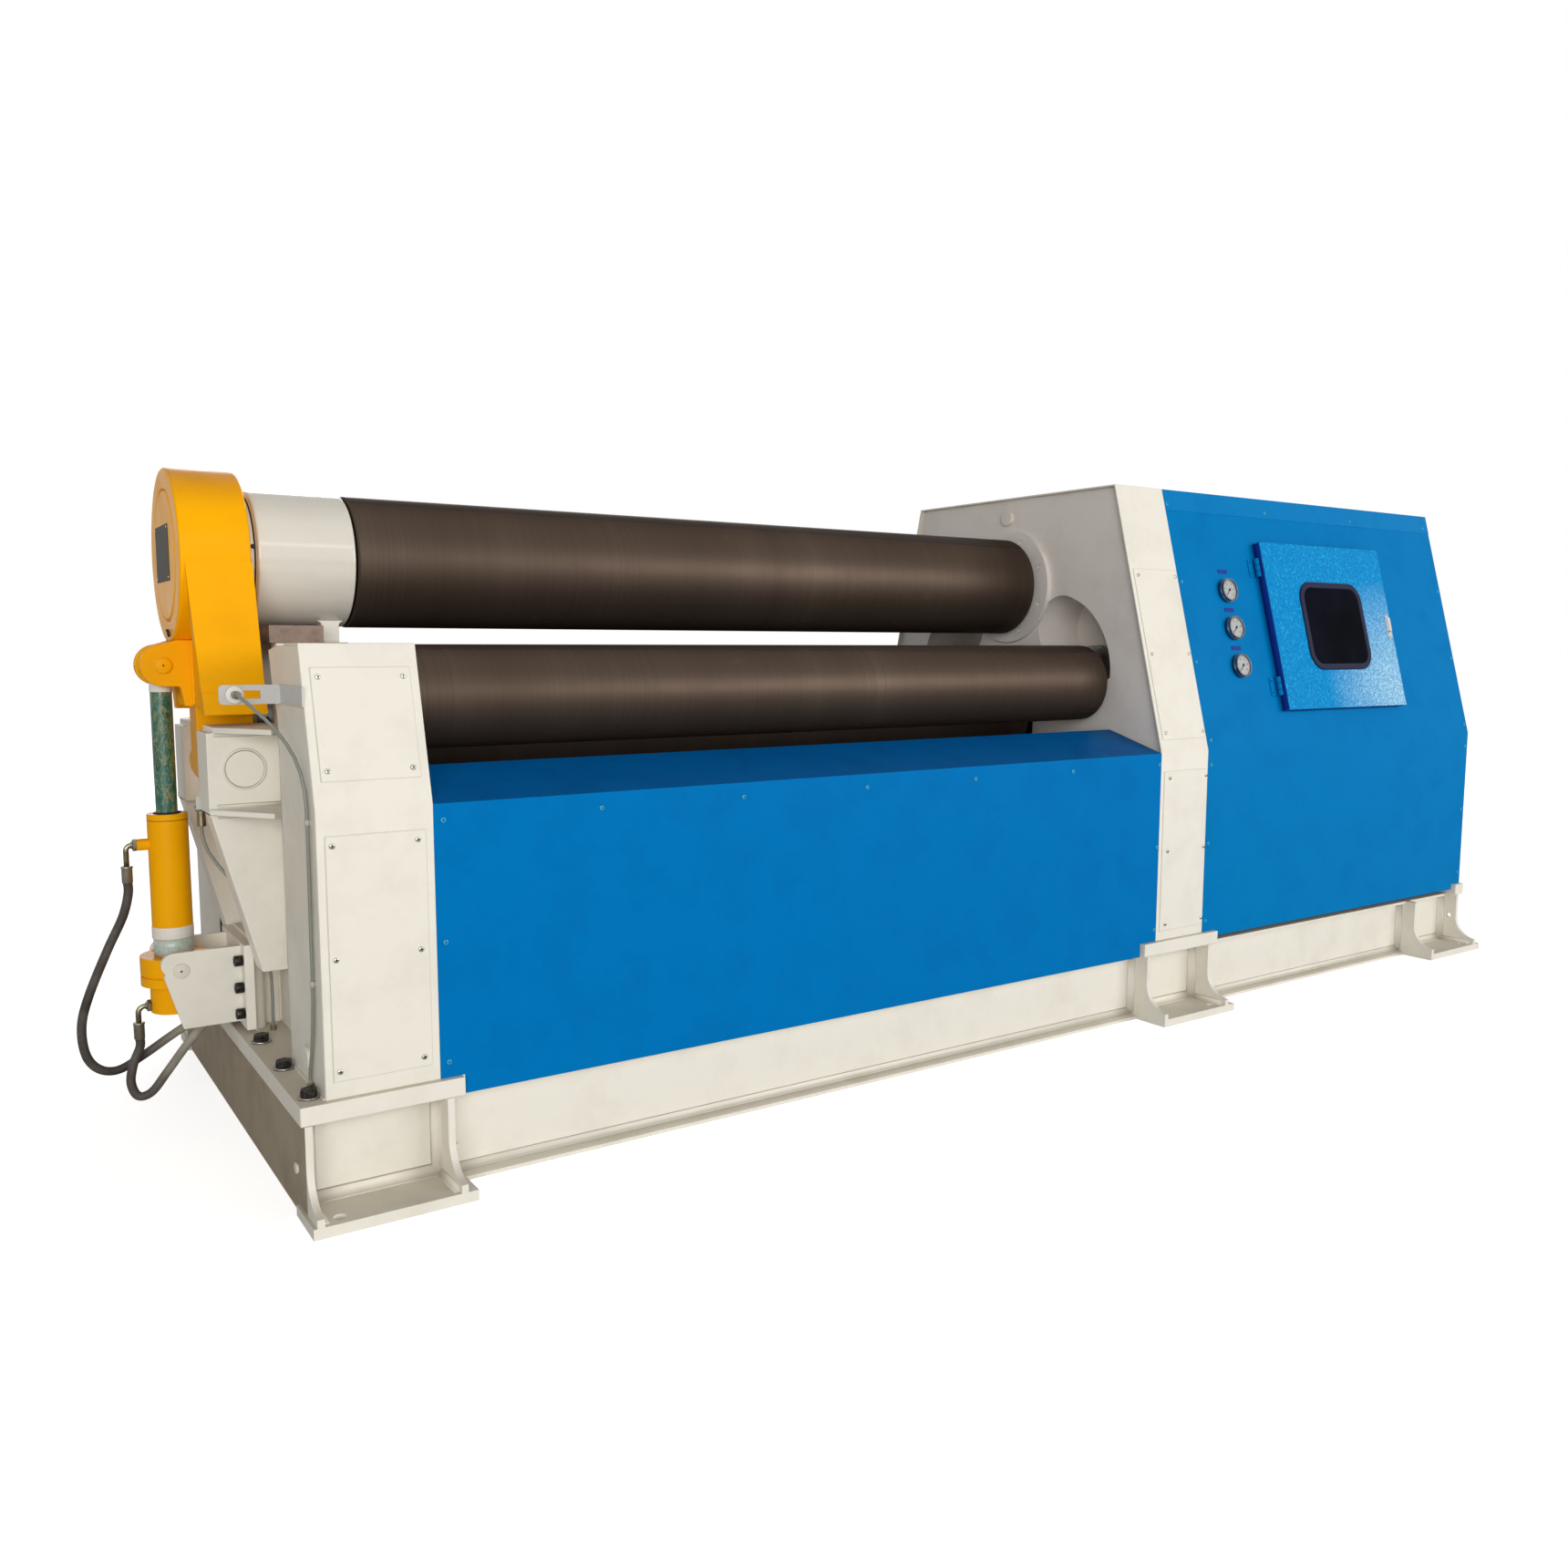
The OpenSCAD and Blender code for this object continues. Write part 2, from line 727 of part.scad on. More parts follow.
module hinge_pin() {
    color("ivory") translate([hinge_x, 0, hinge_z]) {
        bar_y(-bracket_outer_y - 3, bracket_outer_y + 3, hinge_pin_r);
        for (y = [-bracket_outer_y - 5, bracket_outer_y]) bar_y(y, y + 5, 38.5);
    }
}

// ---- Yoke ----

module ring_bore_cut(r) {
    translate([0, 0, top_roll_z]) bar_x(yoke_x0 - 50, yoke_x1 + 50, r);
}

module yoke_ring() {
    color("orange") translate([0, 0, top_roll_z]) difference() {
        bar_x(yoke_x0, yoke_x1, yoke_r);
        bar_x(yoke_x0 + 30, yoke_x1 + 1, neck_bore_r);
        bar_x(yoke_x0 - 1, yoke_x0 + 12, 140);
    }
}

module yoke_cover() {
    color("orange") translate([0, 0, top_roll_z]) bar_x(yoke_x0 - 1, yoke_x0 + 12, 140);
}

// Front and rear arms, tangent to the ring and leaning towards the hinge, thicker at their foot
module yoke_arms() {
    arm_pad = 6;
    color("orange") difference() {
        mirrored_y() along_y(-yoke_r, -yoke_r + arm_t) polygon([
            [-127.3, top_roll_z - 18], [4, top_roll_z - 18], [21, arm_bottom_z], [-104, arm_bottom_z]
        ]);
        ring_bore_cut(yoke_r + seat);
    }
    color("orange") mirrored_y() along_y(-yoke_r - arm_pad, -yoke_r) polygon([
        [-107.4, arm_bottom_z + 46], [18.5, arm_bottom_z + 46], [21, arm_bottom_z], [-104, arm_bottom_z]
    ]);
}

// Cross web between the arms, with the central rib and the hub on the hinge pin
module yoke_web() {
    rib_y = 42;
    hub_y = bracket_inner_y - run_gap;
    color("orange") difference() {
        union() {
            block([web_x0, -yoke_r + arm_t, web_bottom_z], [web_x0 + web_t, yoke_r - arm_t, top_roll_z]);
            along_y(-rib_y, rib_y) polygon([
                [web_x0 + 4, hinge_z], [web_x0 + 4, top_roll_z - 40], [4, top_roll_z - 40],
                [20, arm_bottom_z], [20, hinge_z]
            ]);
            translate([hinge_x, 0, hinge_z]) bar_y(-hub_y, hub_y, hinge_hub_r);
        }
        ring_bore_cut(yoke_r + seat);
        translate([hinge_x, 0, hinge_z]) bar_y(-hub_y - 1, hub_y + 1, hinge_pin_r + fit);
    }
}

clevis_inner_y = 32;
clevis_t = 20;

// Two lugs for the tilt cylinder's rod, welded to the web
module yoke_clevis() {
    color("orange") difference() {
        for (y = [-clevis_inner_y - clevis_t, clevis_inner_y]) along_y(y, y + clevis_t) union() {
            translate([lug_x, lug_z]) circle(r = lug_r);
            polygon([
                [lug_x - lug_r * sin(30), lug_z + lug_r * cos(30)], [web_x0 - 20, 1104], [web_x0, 1104],
                [web_x0, web_bottom_z], [web_x0 - 18, web_bottom_z], [web_x0 - 26, 1000], [lug_x, lug_z - lug_r]
            ]);
        }
        ring_bore_cut(yoke_r + seat);
    }
    color("silver") mirrored_y() translate([lug_x, 0, lug_z])
        bar_y(-clevis_inner_y - clevis_t - 5, -clevis_inner_y - clevis_t, lug_pin_r);
}

// ---- Tilt cylinder ----

module at_lug() { translate([lug_x, 0, lug_z]) children(); }
module at_trunnion() { translate([lug_x, 0, trunnion_z]) children(); }

gland_z = 722;
barrel_floor_z = 425;
trunnion_y = 74;
trunnion_plate = 14;

module tilt_barrel() {
    color("orange") difference() {
        union() {
            translate([lug_x, 0, 445]) cylinder(h = gland_z - 445, r = barrel_r);
            translate([lug_x, 0, 407 - eps]) cylinder(h = 38 + 2 * eps, r = barrel_r - 2);
            translate([lug_x, 0, 368]) cylinder(h = 39, r = 69.5);
            translate([lug_x, 0, 363]) cylinder(h = 5 + eps, r = 66);
            translate([lug_x, 0, 343]) cylinder(h = 20 + eps, r = 69.5);
            translate([lug_x, 0, 280]) cylinder(h = 63 + eps, r = 52);
            at_trunnion() bar_y(-trunnion_y - trunnion_plate - 2, trunnion_y + trunnion_plate + 2, trunnion_r);
            translate([lug_x, 0, 656]) bar_x(-64, -barrel_r + 4, 13);
        }
        translate([lug_x, 0, barrel_floor_z]) cylinder(h = gland_z, r = rod_r + fit);
    }
}

// Elbow fitting with a nut and a ferrule: out by reach from x, then down to the hose's end
module elbow_fitting(x, reach, z, end_z) {
    ferrule = 36;
    tube_r = 8;
    translate([x, 0, z]) bar_x(-reach, 0, tube_r + 1);
    translate([x, 0, z]) bar_x(-14, 0, 15, $fn = 6);
    translate([x - reach, 0, z]) sphere(r = tube_r + 1);
    translate([x - reach, 0, end_z + ferrule - eps]) cylinder(h = z - end_z - ferrule, r = tube_r);
    translate([x - reach, 0, end_z]) cylinder(h = ferrule, r = hose_r + 1.5);
}

module port_fittings() {
    color("silver") {
        elbow_fitting(lug_x - 64, 21, 656, 576);
        elbow_fitting(lug_x - 52, 26, 296, 226);
    }
}

// The rod ends inside the barrel, clear of its floor when the drop end is open
module tilt_rod() {
    rod_z = gland_z - 25;
    color("seagreen") {
        translate([lug_x, 0, rod_z]) cylinder(h = lug_z - rod_z, r = rod_r);
        at_lug() bar_y(-27, 27, 34);
    }
}

module cylinder_bracket() {
    flange_x0 = -36;
    flange_x1 = -16;
    color("ivory") {
        difference() {
            for (y = [-trunnion_y - trunnion_plate, trunnion_y]) along_y(y, y + trunnion_plate) union() {
                polygon([[-171, 425], [flange_x0, 425], [flange_x0, 254], [-158, 254], [-192, 372]]);
                translate([-171, 399]) circle(r = 26);
            }
            at_trunnion() bar_y(-200, 200, trunnion_r + fit);
        }
        block([flange_x0, -125, 240], [flange_x1, 125, 432]);
    }
}

// Unions that end the cylinder's hoses, and the glands that end the sensors' cables
module hose_unions() {
    color("silver") {
        for (y = [-25, 25]) translate([0, y, 252]) {
            bar_x(-58, -46, hose_r + 1.5);
            bar_x(-46, -36, 15, $fn = 6);
        }
        for (p = [[-7, -562], [20, -118]]) translate([p[0], p[1], pad_top_z]) cylinder(h = 12, r = 7);
    }
}

// Box post behind the cylinder's bracket, rounded towards the column, with its tongue to the frame
module bracket_post() {
    post_x0 = -16;
    post_x1 = 12;
    post_y = 100;
    corner = 22;
    color("ivory") translate([0, 0, pad_top_z]) linear_extrude(height = 440 - pad_top_z) {
        translate([post_x0, -post_y]) square([post_x1 - corner - post_x0, 2 * post_y]);
        translate([post_x0, corner - post_y]) square([post_x1 - post_x0, 2 * (post_y - corner)]);
        translate([0, -60]) square([frame_x0, 120]);
        intersection() {
            for (y = [corner - post_y, post_y - corner]) translate([post_x1 - corner, y]) circle(r = corner);
            translate([post_x0, -post_y]) square([post_x1 - post_x0, 2 * post_y]);
        }
    }
}

// ---- Sensors for the drop end's two positions ----

lower_sensor = [-101, -75];
lower_sensor_z = 738;

module sensor_bracket() {
    color("whitesmoke") {
        block([-4, -600, 975], [0, -420, 1013]);
        difference() {
            along_y(-424, -420) translate([-58, 994]) rounded_square(116, 38, 8);
            block([-100, -430, 986], [-40, -410, 1002]);
        }
        block([-113, -bracket_inner_y, lower_sensor_z - 3], [-89, -bracket_inner_y + 3, lower_sensor_z + 27]);
        block([-113, -bracket_inner_y, lower_sensor_z - 3], [-89, -62, lower_sensor_z]);
    }
}

module sensor() {
    color("silver") translate([-88, 0, 994]) {
        bar_y(-420, -380, 8);
        bar_y(-430, -424, 15);
        bar_y(-424, -420, 7.9);
        bar_y(-448, -430, 8);
    }
    color("silver") translate([lower_sensor[0], lower_sensor[1], lower_sensor_z]) {
        cylinder(h = 19, r = 9);
        cylinder(h = 5, r = 12, $fn = 6);
        translate([0, 0, -41]) cylinder(h = 38, r = 9);
        translate([0, 0, -8]) cylinder(h = 5, r = 12, $fn = 6);
    }
}

// ---- Rolls ----

// A roll body with its two journals, turned about the X axis
module turned_roll(x0, x1, body_r, journal_r, end0, end1) {
    chamfer = 4;
    rotate([0, 90, 0]) rotate_extrude() polygon([
        [0, end0], [journal_r - 2, end0], [journal_r, end0 + 2], [journal_r, x0],
        [body_r - chamfer, x0], [body_r, x0 + chamfer], [body_r, x1 - chamfer], [body_r - chamfer, x1],
        [journal_r, x1], [journal_r, end1 - 2], [journal_r - 2, end1], [0, end1]
    ]);
}

module top_roll() {
    color("dimgray") translate([0, 0, top_roll_z]) {
        turned_roll(roll_x0, roll_x1, top_roll_d / 2, top_journal_r, housing_x0 + 10, drive_x1 - 10);
        bar_x(yoke_x0 + 38, housing_x0 + 11, neck_r);
    }
}

module lower_roll(d, journal_r) {
    turned_roll(roll_x0, roll_x1, d / 2, journal_r, block_x0 + 8, drive_block_x1 - 8);
}

module bottom_roll() {
    color("dimgray") translate([0, 0, bottom_roll_z]) lower_roll(bottom_roll_d, bottom_journal_r);
}

module front_side_roll() {
    color("dimgray") translate([0, -side_roll_y, side_roll_z]) lower_roll(side_roll_d, side_journal_r);
}

module rear_side_roll() { mirror([0, 1, 0]) front_side_roll(); }

// Bearing block with its ram, about a roll's axis: the child is its outline in the YZ plane
module bearing_block(x0, x1, low, journal_r) {
    difference() {
        union() {
            along_x(x0, x1) children();
            translate([(x0 + x1) / 2, 0, -low - ram_length]) cylinder(h = ram_length + 1, r = ram_r);
        }
        bar_x(x0 - 1, x1 + 1, journal_r + fit);
    }
}

module block_pair(low, journal_r) {
    bearing_block(block_x0, block_x1, low, journal_r) children();
    bearing_block(drive_block_x0, drive_block_x1, low, journal_r) children();
}

module bottom_blocks() {
    color("slategray") translate([0, 0, bottom_roll_z]) block_pair(block_half, bottom_journal_r)
        rounded_square(2 * (bottom_slot_r - slide_fit), 2 * block_half, 18);
}

// The side rolls' blocks have a round top that follows the closed end of the slot
module front_blocks() {
    r = side_slot_r - slide_fit;
    color("slategray") translate([0, -side_roll_y, side_roll_z]) rotate([-guide_lean, 0, 0])
        block_pair(side_block_half, side_journal_r) union() {
            intersection() {
                circle(r = r);
                translate([-r, 0]) square([2 * r, r]);
            }
            translate([-r, -side_block_half]) square([2 * r, side_block_half]);
        }
}

module rear_blocks() { mirror([0, 1, 0]) front_blocks(); }

// ---- Hoses and cable ----

hose_sides = 10;
cable_r = 3.5;

// Route of the hose from the barrel's upper port
barrel_port_route = [
    [-243, 0, 576], [-243, 0, 550], [-256, 2, 500], [-288, 8, 430], [-328, 16, 332], [-345, 20, 265],
    [-340, 22, 200], [-316, 24, 163], [-278, 25, 154], [-228, 25, 178], [-168, 25, 214], [-120, 25, 240],
    [-82, 25, 252], [-58, 25, 252]
];

// Route of the hose from the barrel's lower port
base_port_route = [
    [-236, 0, 226], [-236, 0, 206], [-251, -5, 172], [-259, -12, 132], [-247, -18, 101], [-220, -22, 106],
    [-188, -25, 146], [-148, -26, 198], [-112, -25, 238], [-82, -25, 252], [-58, -25, 252]
];

// Smooth point between four route points
function blend_point(a, b, c, d, t) =
    0.5 * (2 * b + (c - a) * t + (2 * a - 5 * b + 4 * c - d) * t * t + (3 * b - a - 3 * c + d) * t * t * t);

// The route with extra points between each pair
function smooth_route(p, steps) = [
    for (i = [0:len(p) - 2], s = [0:steps - 1])
        blend_point(p[max(i - 1, 0)], p[i], p[i + 1], p[min(i + 2, len(p) - 1)], s / steps),
    p[len(p) - 1]
];

function unit(v) = v / norm(v);

// Direction of the tube at a point: its ends are square to the route's first and last stretch
function tangent(p, i, route) =
    i == 0 ? unit(route[1] - route[0])
    : i == len(p) - 1 ? unit(route[len(route) - 1] - route[len(route) - 2])
    : unit(p[i + 1] - p[i - 1]);

// One ring of the tube, square to direction t
function tube_ring(centre, t, r, guide) =
    let (side = unit(cross(t, guide)), up = cross(side, t))
    [for (k = [0:hose_sides - 1]) centre + r * (cos(360 * k / hose_sides) * side + sin(360 * k / hose_sides) * up)];

module tube(route, r, steps, guide = [0, 1, 0]) {
    p = smooth_route(route, steps);
    n = len(p);
    points = [for (i = [0:n - 1]) each tube_ring(p[i], tangent(p, i, route), r, guide)];
    walls = [
        for (i = [0:n - 2], k = [0:hose_sides - 1])
            [i * hose_sides + k, i * hose_sides + (k + 1) % hose_sides,
             (i + 1) * hose_sides + (k + 1) % hose_sides, (i + 1) * hose_sides + k]
    ];
    first = [for (k = [hose_sides - 1:-1:0]) k];
    last = [for (k = [0:hose_sides - 1]) (n - 1) * hose_sides + k];
    polyhedron(points = points, faces = concat([first], walls, [last]), convexity = 10);
}

module barrel_port_hose() { color("dimgray") tube(barrel_port_route, hose_r, 2); }
module base_port_hose() { color("dimgray") tube(base_port_route, hose_r, 2); }

// Thin cable clipped down the column's edge, from the sensor to the pad
cable_route = [
    [-88, -448, 994], [-88, -458, 994], [-68, -500, 968], [-40, -545, 930], [-18, -585, 880], [-8, -610, 820],
    [-7, -615, 730], [-7, -610, 540], [-7, -606, 413], [-7, -582, 310], [-7, -562, 262], [-7, -562, 243]
];

// Cable of the lower sensor, between the bracket's gusset and the post
lower_cable_route = [
    [-101, -75, 697], [-101, -75, 680], [-92, -88, 640], [-62, -112, 590], [-20, -118, 530],
    [8, -118, 450], [20, -118, 350], [20, -118, 270], [20, -118, 243]
];

module sensor_cable() {
    color("gray") {
        tube(cable_route, cable_r, 2, [1, 0, 0]);
        tube(lower_cable_route, cable_r, 2, [1, 0, 0]);
    }
}

// ---- Assembly ----

module placed() { translate([-origin_x, 0, 0]) children(); }

placed() front_beam();
placed() rear_beam();
placed() left_end_beam();
placed() right_end_beam();
placed() cross_beams();
placed() front_feet();
placed() rear_feet();
placed() left_pad();
placed() middle_pad();
placed() right_pad();
placed() left_frame();
placed() left_column_cover();
placed() left_end_plates();
placed() right_frame();
placed() right_column_cover();
placed() column_access_plates();
placed() top_bearing_flange();
placed() front_guard();
placed() rear_guard();
placed() cabinet_front();
placed() cabinet_rear();
placed() cabinet_top();
placed() cabinet_end();
placed() instrument_box();
placed() pressure_gauges();
placed() frame_bolts();
placed() round_plugs();
placed() roll_end_housing();
placed() housing_support();
placed() slot_cap();
placed() hinge_bracket_front();
placed() hinge_bracket_rear();
placed() hinge_pin();
placed() cylinder_bracket();
placed() bracket_post();
placed() hose_unions();
placed() sensor_bracket();
placed() sensor();
placed() sensor_cable();
placed() top_roll();
placed() bottom_roll();
placed() front_side_roll();
placed() rear_side_roll();
placed() bottom_blocks();
placed() front_blocks();
placed() rear_blocks();
placed() yoke_ring();
placed() yoke_cover();
placed() yoke_arms();
placed() yoke_web();
placed() yoke_clevis();
placed() tilt_barrel();
placed() port_fittings();
placed() tilt_rod();
placed() barrel_port_hose();
placed() base_port_hose();
placed() door_panel();
placed() door_window();
placed() door_hinges();
placed() door_latch();
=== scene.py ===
"""Hydraulic four-roll plate rolling machine: finishes, small parts, hoses and studio round the model."""
import bpy
import bmesh
import math
import random
from mathutils import Matrix, Vector


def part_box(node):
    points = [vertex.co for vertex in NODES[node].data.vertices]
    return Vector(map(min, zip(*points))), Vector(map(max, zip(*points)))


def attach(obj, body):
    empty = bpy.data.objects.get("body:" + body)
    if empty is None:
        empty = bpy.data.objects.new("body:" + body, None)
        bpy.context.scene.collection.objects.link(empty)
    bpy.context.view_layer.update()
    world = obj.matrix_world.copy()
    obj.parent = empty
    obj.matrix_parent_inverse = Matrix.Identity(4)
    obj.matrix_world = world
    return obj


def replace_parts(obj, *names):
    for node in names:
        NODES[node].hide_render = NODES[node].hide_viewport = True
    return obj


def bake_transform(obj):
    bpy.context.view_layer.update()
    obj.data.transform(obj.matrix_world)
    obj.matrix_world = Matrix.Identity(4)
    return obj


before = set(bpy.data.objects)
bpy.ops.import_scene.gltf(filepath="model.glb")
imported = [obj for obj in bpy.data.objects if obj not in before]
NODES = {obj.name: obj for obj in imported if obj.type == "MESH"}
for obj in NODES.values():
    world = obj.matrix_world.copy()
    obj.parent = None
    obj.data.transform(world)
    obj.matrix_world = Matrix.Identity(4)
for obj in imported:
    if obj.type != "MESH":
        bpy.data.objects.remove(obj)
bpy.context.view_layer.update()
random.seed(16)

# Driving sizes in metres, as the model has them
SLOPE = math.radians(14.7)                       # lean of the upper faces from the vertical
BEND_Z = 0.783                                   # height at which the faces start to lean
FRONT_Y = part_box("left_column_cover")[0].y       # front face of the columns
LEFT_X0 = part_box("left_column_cover")[0].x       # outer face of the drop-end column
PAD_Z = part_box("left_pad")[1].z                  # top of the mounting pads
FOOT_Z = 0.022                                   # top of the foot plates
WEB_Y = -0.600                                   # front face of the bed's web
ROLL_Z = 1.281                                   # axis of the top roll
LUG_X, LUG_Z, TRUNNION_Z = -2.148, 1.046, 0.384  # tilt cylinder's line, and its two pins
BARREL_R, ROD_R = 0.0415, 0.022
HOSE_R = 0.0095

UP, DOWN = (0, 0, 1), (0, 0, -1)
FRONTWARDS, REARWARDS = (0, -1, 0), (0, 1, 0)
OPEN = (False, False)                            # no caps
WIDE_CORNER_STEPS = 10                           # faces round a corner that is wide enough to show them


def station(x):
    """X of a place that is x along the rolls from the drop-end column's outer face."""
    return LEFT_X0 + x


def at(x, y, z):
    """Point that is x along the rolls from the drop-end column's outer face."""
    return Vector((station(x), y, z))


# ---- Camera ----

CAMERA_PLACE = (-2.570, -3.0531, 1.09)
YAW, PITCH, TILT = math.radians(34.04), math.radians(-6.227), math.radians(0.093)
SENSOR_WIDTH, FOCAL_LENGTH = 36, 29.07           # millimetres


def aim_camera():
    """Camera turned by YAW from +Y towards +X, then raised by PITCH, then rolled by TILT."""
    forward = Vector((math.sin(YAW) * math.cos(PITCH), math.cos(YAW) * math.cos(PITCH), math.sin(PITCH)))
    level = Vector((math.cos(YAW), -math.sin(YAW), 0))
    right = level * math.cos(TILT) + level.cross(forward) * math.sin(TILT)
    data = bpy.data.cameras.new("camera")
    data.sensor_width = SENSOR_WIDTH
    data.lens = FOCAL_LENGTH
    camera = bpy.data.objects.new("camera", data)
    turned = Matrix((right, right.cross(forward), -forward)).transposed().to_4x4()
    camera.matrix_world = Matrix.Translation(CAMERA_PLACE) @ turned
    bpy.context.scene.collection.objects.link(camera)
    bpy.context.scene.camera = camera


aim_camera()


# ---- Node and mesh helpers ----

def srgb(code):
    """Linear RGBA of an sRGB hex value."""
    def linear(value):
        return value / 12.92 if value <= 0.04045 else ((value + 0.055) / 1.055) ** 2.4
    return tuple(linear(int(code[i:i + 2], 16) / 255) for i in (1, 3, 5)) + (1.0,)


def per_metre(millimetres):
    """Texture scale that repeats about once in that many millimetres."""
    return 1000 / millimetres


def add(owner, kind, inputs=None, out=None, stops=None, **settings):
    """Adds a shader node with its settings and gives its output.

    Inputs are values or other nodes' outputs, by name or by number; stops are a ramp's places and colours.
    """
    node = owner.node_tree.nodes.new("ShaderNode" + kind)
    for name, value in settings.items():
        setattr(node, name, value)
    sockets = [socket for socket in node.inputs if socket.enabled]
    for name, value in (inputs or {}).items():
        socket = node.inputs[name] if isinstance(name, int) else next(s for s in sockets if s.name == name)
        if isinstance(value, bpy.types.NodeSocket):
            owner.node_tree.links.new(value, socket)
        else:
            socket.default_value = value
    if stops:
        elements = node.color_ramp.elements
        while len(elements) < len(stops):
            elements.new(0.5)
        for element, (position, colour) in zip(elements, stops):
            element.position = position
            element.color = srgb(colour)
    return node.outputs[out] if out else next(s for s in node.outputs if s.enabled)


def new_material(name, **constants):
    """A material with its Principled shader's constant sockets set."""
    material = bpy.data.materials.new(name)
    material.use_nodes = True
    shader = material.node_tree.nodes["Principled BSDF"]
    for socket, value in constants.items():
        shader.inputs[socket.replace("_", " ")].default_value = value
    return material, shader


def feed(material, shader, **sources):
    """Links output sockets to the shader's sockets."""
    for socket, source in sources.items():
        material.node_tree.links.new(source, shader.inputs[socket.replace("_", " ")])


def circle(radius, sides, start=0.0):
    """Points round a circle."""
    angles = [2 * math.pi * k / sides + start for k in range(sides)]
    return [(radius * math.cos(angle), radius * math.sin(angle)) for angle in angles]


def rounded_rectangle(width, height, radius, steps=8):
    """Outline with that many steps in each corner."""
    points = []
    for cx, cy, start in ((1, 1, 0), (-1, 1, 90), (-1, -1, 180), (1, -1, 270)):
        for k in range(steps + 1):
            angle = math.radians(start + 90 * k / steps)
            points.append((cx * (width / 2 - radius) + radius * math.cos(angle),
                           cy * (height / 2 - radius) + radius * math.sin(angle)))
    return points


class Part:
    """Collects the faces of one piece in the model's frame. finish is the index of a face's material."""

    def __init__(self):
        self.mesh = bmesh.new()

    def ring(self, place, points):
        return [self.mesh.verts.new(place @ Vector(point)) for point in points]

    def face(self, verts, finish, smooth):
        made = self.mesh.faces.new(verts)
        made.material_index = finish
        made.smooth = smooth

    def skin(self, rings, finish=0, smooth=True, caps=(True, True)):
        """Joins rings of equal length, and caps the first and the last."""
        for below, above in zip(rings, rings[1:]):
            for i in range(len(below)):
                j = (i + 1) % len(below)
                self.face([below[i], below[j], above[j], above[i]], finish, smooth)
        if caps[0]:
            self.face(list(reversed(rings[0])), finish, False)
        if caps[1]:
            self.face(rings[-1], finish, False)

    def lathe(self, place, profile, sides=24, finish=0, caps=(True, True)):
        """Turns (radius, height) points about the local Z axis."""
        rings = [self.ring(place, [(x, y, z) for x, y in circle(r, sides)]) for r, z in profile]
        self.skin(rings, finish, True, caps)

    def band(self, place, inner, profile, sides=64, finish=0):
        """Closed ring with the given outer profile and a plain bore."""
        self.lathe(place, [(inner, profile[0][1])] + profile + [(inner, profile[-1][1])], sides, finish, OPEN)

    def prism(self, place, outline, z0, z1, finish=0, chamfer=0.0):
        """Extrudes an outline along local Z, with a small chamfer round its top."""
        centre = Vector((sum(x for x, _ in outline), sum(y for _, y in outline))) / len(outline)
        rings = [self.ring(place, [(x, y, z0) for x, y in outline])]
        rings.append(self.ring(place, [(x, y, z1 - chamfer) for x, y in outline]))
        if chamfer:
            inner = []
            for x, y in outline:
                away = Vector((x, y)) - centre
                inner.append((x - away.x / away.length * chamfer, y - away.y / away.length * chamfer, z1))
            rings.append(self.ring(place, inner))
        self.skin(rings, finish, False)

    def tube(self, points, radius, sides=16):
        """Sweeps a circle along points; radius is a number or a function of the point's index."""
        points = [Vector(point) for point in points]
        side = None
        rings = []
        for i, point in enumerate(points):
            ahead = (points[min(i + 1, len(points) - 1)] - points[max(i - 1, 0)]).normalized()
            if side is None:
                side = ahead.orthogonal().normalized()
            side = (side - ahead * side.dot(ahead)).normalized()
            up = ahead.cross(side)
            r = radius(i) if callable(radius) else radius
            section = [point + side * r * c + up * r * s for c, s in circle(1, sides)]
            rings.append([self.mesh.verts.new(corner) for corner in section])
        self.skin(rings)

    def rim(self, place, width, height, corner, profile):
        """Sweeps (inwards, out) points round a rounded rectangle."""
        outer = rounded_rectangle(width, height, corner, WIDE_CORNER_STEPS)
        rings = []
        for i, (x, y) in enumerate(outer):
            before, after = Vector(outer[i - 1]), Vector(outer[(i + 1) % len(outer)])
            inward = Vector((before.y - after.y, after.x - before.x)).normalized()
            rings.append(self.ring(place, [(x + inward.x * d, y + inward.y * d, h) for d, h in profile]))
        self.skin(rings + [rings[0]], caps=OPEN)

    def piece(self, name, body, finishes, slot=None):
        """Makes the object with its materials, riding on a body, or on none."""
        bmesh.ops.recalc_face_normals(self.mesh, faces=self.mesh.faces)
        data = bpy.data.meshes.new(name)
        self.mesh.to_mesh(data)
        self.mesh.free()
        for finish in finishes:
            data.materials.append(finish)
        obj = bpy.data.objects.new(name, data)
        bpy.context.scene.collection.objects.link(obj)
        if body:
            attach(obj, body)
        return obj


def facing(origin, out, up):
    """Placement with local Z out of a surface and local Y up it."""
    out, up = Vector(out).normalized(), Vector(up).normalized()
    return Matrix.Translation(origin) @ Matrix((up.cross(out), up, out)).transposed().to_4x4()


def on_front(x, z, lift=0.0):
    """Placement on the upright front faces."""
    return facing((x, FRONT_Y - lift, z), FRONTWARDS, UP)


def on_slope(x, z, lift=0.0):
    """Placement on the leaning front faces."""
    out = Vector((0, -math.cos(SLOPE), math.sin(SLOPE)))
    foot = Vector((x, FRONT_Y + (z - BEND_Z) * math.tan(SLOPE), z))
    return facing(foot + out * lift, out, (0, math.sin(SLOPE), math.cos(SLOPE)))


def on_side(x, y, z, out=-1):
    """Placement on a face square to the rolls."""
    return facing((x, y, z), (out, 0, 0), UP)


def moved(place, x, y, z=0.0):
    """Placement moved within its own axes."""
    return place @ Matrix.Translation((x, y, z))


